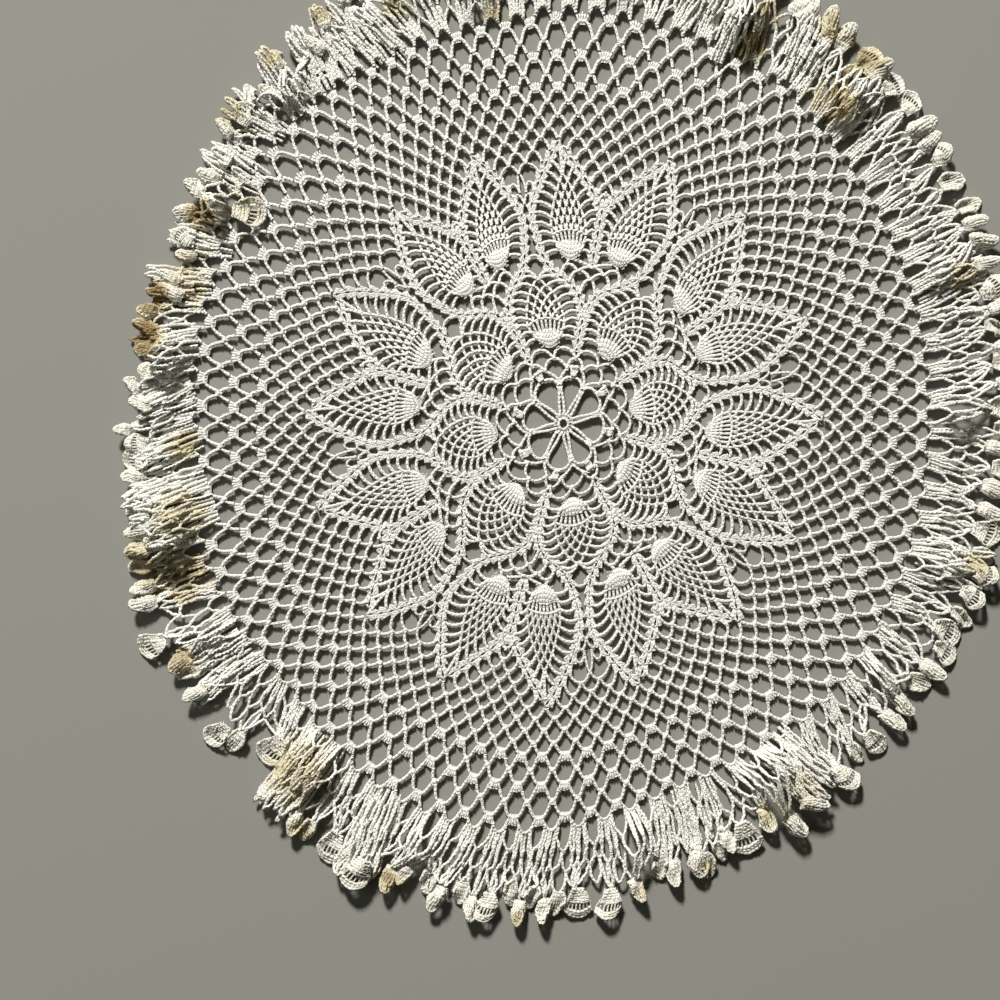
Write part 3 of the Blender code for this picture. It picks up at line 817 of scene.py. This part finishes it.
def mark_stain_shade(piece, worn):
    """The attribute stain_shade of a piece, from the stains and painted recess shade it reaches and its
    tint all over.
    """
    mesh = piece.data
    flat = [0.0] * (3 * len(mesh.vertices))
    mesh.vertices.foreach_get("co", flat)
    places = numpy.array(flat).reshape(-1, 3)
    stain_shade = numpy.full(len(places), worn)
    # painted shade in the recesses: the deep marks go only on the threads that lie low
    recess_shade_share = numpy.clip(2.0 - 2.0 * places[:, 2] / RECESS_SHADE_TO, 0.0, 1.0)
    for stains, share in ((STAINS, 1.0), (RECESS_STAINS_AND_SHADE, recess_shade_share)):
        for bearing, far, radius, strength in stains:
            x, y = far * MM * math.cos(math.radians(bearing)), far * MM * math.sin(math.radians(bearing))
            near = 1.0 - numpy.hypot(places[:, 0] - x, places[:, 1] - y) / (radius * MM)
            stain_shade = numpy.maximum(stain_shade, share * strength * numpy.clip(STAIN_EDGE * near, 0.0, 1.0))
    mesh.attributes.new("stain_shade", "FLOAT", "POINT").data.foreach_set("value", stain_shade)


FRILL_SEED = 11
chance = random.Random(FRILL_SEED)
FRILL_THREAD = 0.73 * MM
# A worn thread's kinks and uneven width; the points, curve and spread of a long loop.
KINK, KINK_UP, KNOBBLY = 0.36 * MM, (-0.6, 0.8), (0.86, 1.12)
LONG_POINTS, LONG_CURVE, LONG_SPREAD = 13, 1.5, 1.6


def kink():
    """How far a point of worn thread is out of line."""
    return Vector((chance.uniform(-1, 1), chance.uniform(-1, 1), chance.uniform(*KINK_UP))) * KINK


def knobbly(thick, count):
    """Uneven half widths along a thread."""
    return [thick * chance.uniform(*KNOBBLY) for _ in range(count)]


def long_loop(yarn, foot, top, other, thick=FRILL_THREAD):
    """A long chain loop between places, rounded at its top, with the kinks of worn thread."""
    axis = 0.5 * (foot + other) - top
    axis.z = 0.0
    axis.normalize()
    side = aside_of(axis)
    points = []
    for u in spread(LONG_POINTS):
        off, share = (foot if u < 0.0 else other) - top, abs(u)
        point = top + axis * off.dot(axis) * share ** LONG_CURVE \
            + side * off.dot(side) * min(1.0, LONG_SPREAD * share)
        point.z = top.z + off.z * share
        points.append(point + kink() * (0.0 if share == 1.0 else 1.0))
    yarn.append((points, knobbly(thick, len(points))))


# Shells of trebles along the rim that the frill shows: bearing, mm from the centre to its tip,
# size, fold (0 flat, 1 a narrow tongue, below nothing the other way up), and its turn in degrees.
SHELLS = (
    (182.6, 201, 0.8, -0.3, 0), (184.9, 203, 0.9, 0.2, 0), (187.2, 204, 0.8, -0.7, 0),
    (189.6, 198, 0.9, -0.4, 0), (191.8, 205, 0.85, 0.5, 0), (194.2, 207, 0.85, -0.9, 0),
    (196.5, 209.5, 0.9, -0.6, 0), (198.9, 211, 0.8, 0.8, 0),
    (201.3, 213, 0.85, -0.9, 0), (203.2, 216, 0.9, -0.6, -5), (208.3, 221, 1.0, 0.1, 0),
    (211.8, 213, 0.85, -0.5, 0), (213.6, 212.5, 0.85, 0.9, 0), (216.6, 215, 0.8, -0.85, 5),
    (221.8, 220, 0.95, 0.2, 0), (224.2, 215, 0.8, 0.6, 10), (227.9, 208, 1.1, 0.1, -5),
    (231, 221, 0.8, -0.8, -5), (233.6, 219, 0.8, 0.6, 5), (235.8, 227, 0.9, -0.9, 5),
    (237.6, 226, 0.8, 0.85, 0), (241, 229, 1.1, 0.1, 0), (243.3, 231, 1.0, -0.5, -6),
    (245.3, 234, 1.15, -0.12, 0), (246.9, 230, 0.9, 0.7, 6), (248.9, 230, 0.95, -0.7, 0),
    (250.6, 224, 0.75, -0.9, 0), (253.3, 225, 0.85, 0.7, 0), (255.1, 232, 0.95, -0.85, -3),
    (257.4, 226, 0.8, 0.8, 0), (258.8, 232, 0.85, -0.9, 0), (261, 231, 1.0, -0.3, 0),
    (263.3, 223, 0.8, 0.9, 0), (264.7, 231, 0.85, -0.95, 0), (266.3, 223, 0.8, 0.85, 0),
    (267.6, 229, 0.85, -0.9, 0), (269.3, 226, 0.85, 0.6, 0), (271.7, 227, 1.05, 0.1, 0),
    (275.6, 227.5, 1.0, -0.15, 0), (279.7, 221, 0.85, -0.8, 25), (282.4, 214, 0.9, 0.75, 0),
    (284.2, 218, 0.9, -0.85, 5), (286.6, 217, 0.95, -0.5, -8), (288.3, 219, 0.9, 0.5, 8),
    (289.9, 214, 0.75, 0.9, 0), (291.3, 211, 0.75, -0.9, 0), (293.8, 215, 1.15, 0.08, 0),
    (297.8, 209.5, 0.9, -0.6, 10), (300.8, 218, 0.95, -0.7, 25), (304.8, 212, 1.0, -0.9, 50),
    (308.3, 213.5, 0.95, -0.3, 0), (311.6, 207, 0.75, 0.9, 0), (314.3, 210, 0.9, 0.3, 0),
)
# The shells that aren't seen go on from here: degrees from one to the next, and how that, their
# reach in mm, their size and their turn vary.
SEEN_TO, SHELL_GAP, GAP_ENDS = 315.0, 2.7, 0.6
UNSEEN_GAP, UNSEEN_REACH, UNSEEN_SIZE, UNSEEN_TURN = (0.85, 1.15), (-3.0, 1.5), (0.8, 1.05), (-10, 10)
FOLD_KINDS = (0.1, 0.5, 0.75, 0.9, -0.3, -0.6, -0.8, -0.9, -0.95)
# From this bearing to the first one in the table they are tucked under the loops, more folded,
# further back in mm, and smaller.
TUCKED_FROM, TUCKED_KINDS, TUCKED_BACK, TUCKED_SMALLER = 112.0, FOLD_KINDS[3:], 5.0, 0.2
unseen = SEEN_TO + SHELL_GAP
rim_shells = list(SHELLS)
while unseen < 360.0 + SHELLS[0][0] - GAP_ENDS * SHELL_GAP:
    tucked = 1.0 if unseen - 360.0 > TUCKED_FROM else 0.0
    rim_shells.append((
        unseen % 360.0,
        around("reach", unseen) + chance.uniform(*UNSEEN_REACH) * (1.0 + tucked) - TUCKED_BACK * tucked,
        chance.uniform(*UNSEEN_SIZE) - TUCKED_SMALLER * tucked,
        chance.choice(TUCKED_KINDS if tucked else FOLD_KINDS),
        chance.uniform(*UNSEEN_TURN) * (1.0 + tucked)))
    unseen += SHELL_GAP * chance.uniform(*UNSEEN_GAP)

# Where the frill crowds into a dense mass of loops that stands over the rest: its bearing, mm from
# the centre and width in mm, at its start and at its end, and how high it is at each.
BUNCHES = (
    (233, 180, 20, 233.4, 221, 22, 3, 7.5),
    (244.4, 186, 13, 244.8, 223, 18, 3, 7.5),
    (302.3, 173, 23, 305.4, 207, 19, 3.5, 9),
    (191, 165, 25, 192.5, 203, 30, 3.5, 10.5),
    (182.2, 167, 10, 185, 195, 12, 2.5, 5),
    (158.4, 174, 11, 161.5, 201, 13, 2.5, 4.5),
    (166.8, 173, 14, 169.2, 196, 16, 2.5, 5),
    (174.5, 171, 16, 178.3, 195, 18, 2.5, 5.5),
    (212.3, 177, 11, 212.3, 206, 12, 2.5, 4.5),
    (217, 177, 9, 216.5, 208, 10, 2.5, 4.5),
    (67.3, 180, 7, 67.1, 216, 8, 7, 11),
    (72.3, 190, 18, 70.6, 216, 20, 2.5, 6),
    (283.8, 176.5, 5, 283.8, 203, 6.5, 1.5, 3.5),
    (287.3, 175.5, 5.5, 287.2, 204, 7, 1.5, 4),
    (290.9, 175.5, 5.5, 290.4, 202, 6.5, 1.5, 3.5),
    (56.5, 188, 11, 57.5, 217, 18, 3, 6),
    (47.5, 182, 12, 47.5, 212, 13, 4, 8),
    (112.9, 182, 7, 116, 213, 7.5, 1, 3), (117, 185, 7, 119.2, 219, 8, 1, 3.5),
    (121.3, 188, 8, 121.6, 221, 9.5, 1, 3), (125.6, 188, 7.5, 124.6, 220, 9, 1, 4),
    (129.8, 186, 8, 129.6, 219, 11, 2.5, 7), (134, 184, 8, 136.6, 215, 9, 1.5, 5),
    (141.5, 176, 10, 142.5, 204, 12, 1.5, 4), (152, 172, 10, 154, 200, 12, 1.5, 4),
    (20, 172, 12, 21, 204, 15, 3, 6),
    (341, 174, 14, 340, 205, 15, 3, 6),
    (201.4, 177, 11, 202.4, 206, 13, 0.1, 0.3), (161.6, 178, 9, 162.6, 197, 10, 0.1, 0.3),
    (168.3, 183, 11, 168.6, 199, 12, 0.1, 0.3), (150, 178, 6, 150.4, 194, 7, 0.1, 0.3),
    (49.2, 184, 8, 50.4, 210, 10, 0.1, 0.3), (64, 184, 9, 64.8, 208, 10, 0.1, 0.3),
)
BUNCH_END = 16.0          # mm before its end from which the shells stand on a bunch


def bunch_rise(phi, far):
    """How high the bunches stand at a place near their ends."""
    rise = 0.0
    for a, r0, w0, b, r1, w1, low, high in BUNCHES:
        off = abs(turn_from(b, phi)) * math.radians(1.0) * far / (0.5 * w1 * MM)
        if off < 1.0 and far > (r1 - BUNCH_END) * MM:
            rise = max(rise, high * MM * (1.0 - off * off))
    return rise


SHELL_LENGTH, SHOULDER, SPREAD = 13.5 * MM, 2.5 * MM, 6.6 * MM
# How a fold bends a shell, in mm, how far one curls, how pointed it is and how its edge waves.
BENDS, MOST_BENT, DOME, CURL, POINTED, NARROWED = (2.6, 9.3), 2.5, 5.0 * MM, 2.4, (0.25, 0.32), 0.45
WAVE, WAVE_PHASE, WAVES_OUT, WAVES_ACROSS, WAVES_ASIDE = (0.2, 0.9), 6.0, 5.0, 2.5, 6.0
SLITS_TO = 0.35           # a fold beyond which the slits are closed
# Its rounds, from its base (0) to its rim (1), across it (from -1 to 1), and half their widths.
CLOSE_ROUNDS, RIM_ROUNDS, TIP_ROUND = (0.04, 0.13, 0.22, 0.31, 0.40, 0.47), (0.79, 0.88, 0.97), 0.97
ACROSS, ROUND_UNEVEN = [0.2 * n - 1.0 for n in range(11)], (-0.015, 0.025)
CLOSE_THICK, RIM_THICK, END_THICK = 0.86 * MM, 0.82 * MM, 0.70 * MM
SLITS, SLIT_REACH, SLIT_THICK = 8, (0.48, 0.62, 0.76), 0.44 * MM
TONGUES, TONGUE_UNEVEN, TONGUE_THICK = 8, 0.08, 0.78 * MM
TONGUE_REACH = [0.95 * k / 5.0 for k in range(6)]
# The heads of its stitches: how many, where (of an open one only in its close part), how long
# and how high.
HEADS, HEAD_SIDES, HEAD_FROM, HEAD_TURN, HEAD_LONG = 18, 0.95, 0.05, 0.2, 0.05
HEADS_TO = {True: 0.5, False: 1.0}
HEAD_UP, HEAD_THICK = (0.1 * MM, 0.6 * MM, 0.1 * MM), (0.3 * MM, 0.70 * MM, 0.3 * MM)


def shell(yarn, base, direction, fold, size, tip_low):
    """A shell of trebles.  One that lies flat is close rounds of stitches, a round of slits and
    a thick rim; one folded along its middle is a tongue that narrows to its tip."""
    across = aside_of(direction).normalized()
    bend = (BENDS[0] + BENDS[1] * (1.0 - abs(fold)) ** 2) * MM
    curl, pointed = chance.uniform(-CURL, CURL) * MM, POINTED[0] + POINTED[1] * abs(fold)
    wave, phase = chance.uniform(*WAVE) * MM, chance.uniform(0.0, WAVE_PHASE)
    open_rim = abs(fold) < SLITS_TO

    def spot(rank, reach, over=0.0):
        half = SHOULDER + (SPREAD - SHOULDER) * math.sin(0.5 * math.pi * min(1.0, reach))
        half *= 1.0 - NARROWED * abs(fold) * reach * reach
        turn = max(-MOST_BENT, min(MOST_BENT, rank * half * size / bend))
        along = SHELL_LENGTH * size * reach * (1.0 - pointed * rank * rank * reach)
        lift = bend * (1.0 - math.cos(turn))
        if fold <= 0.0:
            lift = max(0.0, min(2.0 * bend, DOME) * reach ** 0.5 - lift)
        up = base.z * (1.0 - reach) + tip_low * reach \
            + wave * math.sin(WAVES_OUT * reach + WAVES_ACROSS * rank + phase)
        return Vector((base.x, base.y, 0.0)) + direction * along \
            + across * (bend * math.sin(turn) + curl * reach * reach
                        + 0.5 * wave * math.sin(WAVES_ASIDE * reach)) \
            + raised(LOWEST + max(0.0, up + lift) + over)

    def round_at(reach, thick):
        points = [spot(rank, reach + chance.uniform(*ROUND_UNEVEN)) for rank in ACROSS]
        yarn.append((points, knobbly(thick, len(points))))

    if open_rim:
        for reach in CLOSE_ROUNDS:
            round_at(reach, CLOSE_THICK)
        for rank in spread(SLITS):
            points = [spot(rank, reach) for reach in SLIT_REACH]
            yarn.append((points, knobbly(SLIT_THICK, len(points))))
        for reach in RIM_ROUNDS:
            round_at(reach, RIM_THICK)
    else:
        for rank in spread(TONGUES):
            points = [spot(rank + chance.uniform(-TONGUE_UNEVEN, TONGUE_UNEVEN), reach)
                      for reach in TONGUE_REACH]
            yarn.append((points, knobbly(TONGUE_THICK, len(points))))
        round_at(TIP_ROUND, END_THICK)
    for _ in range(HEADS):
        # the heads of its stitches
        rank = chance.uniform(-HEAD_SIDES, HEAD_SIDES)
        reach = chance.uniform(HEAD_FROM, HEADS_TO[open_rim])
        turned = chance.uniform(-HEAD_TURN, HEAD_TURN)
        hump = [spot(rank - turned, reach - HEAD_LONG, HEAD_UP[0]), spot(rank, reach, HEAD_UP[1]),
                spot(rank + turned, reach + HEAD_LONG, HEAD_UP[2])]
        yarn.append((hump, list(HEAD_THICK)))


# How high a shell's base stands: on a fold, at this place and share of it, on a bunch, or else
# between these in mm; and its tip, which hangs down from a high base.
ON_FOLD, FOLD_SHARE, BASE_RISE = 0.7, 0.8, (1.4, 4.4)
HIGH_BASE, TIP_SHARE, TIP_RISE = 4.5 * MM, 0.25, (-0.4, 0.4)
NEAR_SHELLS = (170.0, 320.0)         # the bearings of the shells on the near side
shell_yarn, far_shell_yarn = [], []
bases = []
for phi, far, size, fold, turn in rim_shells:
    outward = Vector((math.cos(math.radians(phi)), math.sin(math.radians(phi)), 0.0))
    way = Matrix.Rotation(math.radians(turn), 3, "Z") @ outward
    foot = far * MM - SHELL_LENGTH * size
    rise = max(fold_height(phi, ON_FOLD)[0] * FOLD_SHARE, bunch_rise(phi, foot),
               chance.uniform(*BASE_RISE) * MM)
    base = outward * far * MM - way * SHELL_LENGTH * size
    base.z = rise
    bases.append((phi, base))
    shell(shell_yarn if NEAR_SHELLS[0] < phi < NEAR_SHELLS[1] else far_shell_yarn, base, way, fold, size,
          TIP_SHARE * rise if rise > HIGH_BASE else chance.uniform(*TIP_RISE) * MM)

# The first round.  Places across it are in edge loops, places along it go from the edge (0) to
# the rim (1).  Its feet: how far apart, how far back the outer ones lie and how high they are in
# turn, in mm; its tops: how they crowd together and fan out, how far along and how high; and the
# arch between two bundles.
FEET = 0.245              # half the span of the feet in an edge loop
FOOT_STEP, FOOT_BACK, FOOT_UP_LOW, FOOT_UP_MORE = 0.4, -0.05, 0.2, 0.5
FOCUS, TIGHTNESS, FANNED = 0.12, (0.55, 1.1), 0.26
TOP_REACH, TOP_UP = (0.22, 0.38), (-0.2, 1.8)
FOOT_HUMP_UP, FOOT_HUMP = 0.7 * MM, 0.8 * MM
ARCH_ASIDE, ARCH_REACH, ARCH_TOP_UP = 0.06, (0.17, 0.27), 0.2 * MM
ARCH_FEET = (-0.03, 0.3 * MM)
bundle_yarn, loop_yarn = [], []
row_a = []
for i in range(LOOPS):
    middle = FIRST_AXIS + i * PITCH
    focus, tightness = chance.uniform(-FOCUS, FOCUS), chance.uniform(*TIGHTNESS)
    for n in range(3):
        ranks = [FOOT_STEP * (2 * n + d) - 1.0 for d in (0, 1)]
        feet = [frill_place(middle + rank * FEET * PITCH, FOOT_BACK * rank ** 2,
                            (FOOT_UP_LOW + FOOT_UP_MORE * (n % 2)) * MM) for rank in ranks]
        top = (middle + (focus + (n - 1) * FANNED * tightness) * PITCH, chance.uniform(*TOP_REACH),
               chance.uniform(*TOP_UP) * MM)
        long_loop(bundle_yarn, feet[0], frill_place(*top), feet[1])
        for foot in feet:
            hump_at(bundle_yarn, foot, FOOT_HUMP_UP, FOOT_HUMP)
        row_a.append(top)
    arch = (middle + (0.5 + chance.uniform(-ARCH_ASIDE, ARCH_ASIDE)) * PITCH,
            chance.uniform(*ARCH_REACH), ARCH_TOP_UP)
    left, right = (frill_place(middle + at * PITCH, *ARCH_FEET) for at in (FEET, 1.0 - FEET))
    long_loop(bundle_yarn, left, frill_place(*arch), right)
    row_a.append(arch)

# The second and third rounds: how far out their tops are, and how high above the frill's middle.
SECOND, THIRD, TOP_ASIDE, TOP_LOW = (0.40, 0.52, 2.0), (0.58, 0.68, 2.2), 0.25, -0.3
HOOKED_UP = 0.4 * MM
# How close to a shell's base a top is pulled, as a share, if it is within so many degrees or not.
BY_SHELL, PULL_NEAR, PULL_FAR, BASE_SPREAD, BASE_UP = 1.5, 0.85, 0.3, 1.8, 1.0 * MM


def next_row(feet, low, high, rise):
    """A round of loops, each from one top of the round before to the next."""
    tops = []
    for a, b in zip(feet, feet[1:] + feet[:1]):
        step = turn_from(a[0], b[0])
        tops.append((a[0] + (0.5 + chance.uniform(-TOP_ASIDE, TOP_ASIDE)) * step,
                     chance.uniform(low, high), chance.uniform(TOP_LOW, rise) * MM))
    return tops


def near_shell(place):
    """The place drawn in to the base of the shell beside it, if one is near."""
    phi = math.degrees(math.atan2(place.y, place.x)) % 360.0
    off, base = min((abs(turn_from(at, phi)), base) for at, base in bases)
    aside = Vector((chance.uniform(-1, 1), chance.uniform(-1, 1), 0.0)) * BASE_SPREAD * MM
    return place.lerp(base + aside + raised(BASE_UP), PULL_NEAR if off < BY_SHELL else PULL_FAR)


row_b = next_row(row_a, *SECOND)
row_c = next_row(row_b, *THIRD)
held_a, held_b = [frill_place(*top) for top in row_a], [frill_place(*top) for top in row_b]
held_c = [near_shell(frill_place(*top)) for top in row_c]
for below, tops in ((held_a, held_b), (held_b, held_c)):
    for a, top, b in zip(below, tops, below[1:] + below[:1]):
        long_loop(loop_yarn, a + raised(HOOKED_UP), top, b + raised(HOOKED_UP))

# The bunches: rows of long loops along each, how far apart and how long they are, then how they
# vary in place, crown, length, way, width and height; and a shell thrown back over the net.
ROW_GAP, LOOP_GAP, TUFT = 8.0 * MM, 2.9 * MM, 20.0 * MM
RANK_UNEVEN, CROWN, TUFT_UNEVEN, PAST_END = 0.7, 0.8, (0.75, 1.3), (-2.0, 3.0)
FANS, FANS_MORE, LOOP_HALF, ROW_UNEVEN = 0.05, 0.11, (0.9, 1.7), 0.4
LAYERS, CLIMB, FIRST_UP, UP_FASTER, END_DROP, FOLD_THICK = (-1.4, 0.9), 1.6, 0.35, 1.2, 0.75, 1.03
THROWN_AT, THROWN_WAY, THROWN = (-0.152, 0.0975, 0.004), (1.0, -0.05, 0.0), (0.1, 1.15, 2.0 * MM)
fold_yarn = []
for a, r0, w0, b, r1, w1, low, high in BUNCHES:
    start = Matrix.Rotation(math.radians(a), 3, "Z") @ Vector((r0 * MM, 0.0, 0.0))
    end = Matrix.Rotation(math.radians(b), 3, "Z") @ Vector((r1 * MM, 0.0, 0.0))
    ahead = (end - start).normalized()
    across = aside_of(ahead)
    length = (end - start).length
    rows = max(2, round(length / ROW_GAP) - 1)
    for row in range(rows):
        u = row / rows
        wide = (w0 + (w1 - w0) * u) * MM
        many = max(2, round(wide / LOOP_GAP))
        for n in range(many):
            rank = (2.0 * n + 1.0) / many - 1.0 + chance.uniform(-RANK_UNEVEN, RANK_UNEVEN) / many
            crown = math.sqrt(max(0.0, 1.0 - CROWN * rank * rank))
            reach = min(TUFT * chance.uniform(*TUFT_UNEVEN),
                        length * (1.0 - u) + chance.uniform(*PAST_END) * MM)
            way = Matrix.Rotation(chance.gauss(0.0, FANS + FANS_MORE * u), 3, "Z") @ ahead
            side = aside_of(way) * chance.uniform(*LOOP_HALF) * MM
            along = length * u + chance.uniform(-ROW_UNEVEN, ROW_UNEVEN) * ROW_GAP * min(1.0, 2.0 * row)
            foot = start + ahead * along + across * 0.5 * wide * rank
            layer = chance.uniform(*LAYERS) * MM
            ends = (u, u + reach / length)
            heights = [(low + (high - low) * math.sin(0.5 * math.pi * min(1.0, CLIMB * t))) * MM * crown
                       * min(1.0, FIRST_UP + UP_FASTER * t) + layer + LOWEST for t in ends]
            if ends[1] > 1.0:
                heights[1] *= END_DROP
            foot_up, top_up = (raised(max(LOWEST, height)) for height in heights)
            flared = across * (w1 - w0) * MM * 0.5 * rank * reach / length
            long_loop(fold_yarn, foot - side + foot_up, foot + way * reach + flared + top_up,
                      foot + side + foot_up, FRILL_THREAD * FOLD_THICK)
shell(fold_yarn, Vector(THROWN_AT), Vector(THROWN_WAY), *THROWN)
FRILL_PIECES = [
    spin(name, yarn, FRILL_COTTON, "frill_cotton", "ruffle_frill", sides) for name, yarn, sides in (
        ("frill_bundles", bundle_yarn, SPUN_SIDES), ("frill_loops", loop_yarn, SPUN_SIDES),
        ("frill_folds", fold_yarn, CLOSE_SIDES), ("frill_shells", shell_yarn, CLOSE_SIDES),
        ("frill_far_shells", far_shell_yarn, CLOSE_SIDES))]
for piece in FRILL_PIECES:
    # the shells take a little yellow and painted shade all over
    mark_stain_shade(piece, SHELL_TINT_AND_SHADE if piece.name.endswith("shells") else 0.0)

# ----------------------------------------
# The setting: a plain pale floor, soft light from the far side, and the camera straight above.
# ----------------------------------------
FLOOR, UNDER = 4.0, -0.2 * MM
PAPER = {"Base Color": (0.236, 0.233, 0.205, 1.0), "Roughness": 0.9}
# What the camera frames, in metres, how high it stands, and its film; the room's dim warm light.
VIEW_CENTRE, VIEW_WIDTH, VIEW_HEIGHT, FILM = Vector((-0.0294, -0.0350, 0)), 0.460, 0.85, 36.0
ROOM = {"Color": (1.0, 0.915, 0.67, 1.0), "Strength": 0.036}
# Lights: name, place, size in metres, power in watts and colour.
LIGHTS = (("window_light", (-1.40, 5.20, 3.90), 0.84, 805, (1, 0.99, 0.965)),
          ("fill_light", (-0.95, 0.1, 0.85), 0.8, 1.5, (0.93, 0.97, 1)))
bpy.ops.mesh.primitive_plane_add(size=FLOOR, location=(0.0, 0.0, UNDER))
floor = bpy.context.object
floor.name = "floor"
paper, world = bpy.data.materials.new("floor_paper"), bpy.data.worlds.new("room")
for surface, shader, values in ((paper, "Principled BSDF", PAPER), (world, "Background", ROOM)):
    surface.use_nodes = True
    for socket, value in values.items():
        surface.node_tree.nodes[shader].inputs[socket].default_value = value
floor.data.materials.append(paper)

camera = bpy.data.cameras.new("camera")
camera.sensor_width = FILM
camera.lens = camera.sensor_width * VIEW_HEIGHT / VIEW_WIDTH
eye = bpy.data.objects.new("camera", camera)
eye.location = VIEW_CENTRE + raised(VIEW_HEIGHT)
bpy.context.scene.collection.objects.link(eye)
bpy.context.scene.camera = eye
for name, place, size, power, colour in LIGHTS:
    light = bpy.data.lights.new(name, "AREA")
    light.size, light.energy, light.color = size, power, colour
    lamp = bpy.data.objects.new(name, light)
    lamp.location = place
    lamp.rotation_mode = "QUATERNION"
    lamp.rotation_quaternion = (-Vector(place)).to_track_quat("-Z", "Y")
    bpy.context.scene.collection.objects.link(lamp)
bpy.context.scene.world = world
bpy.context.scene.view_settings.view_transform = "Standard"
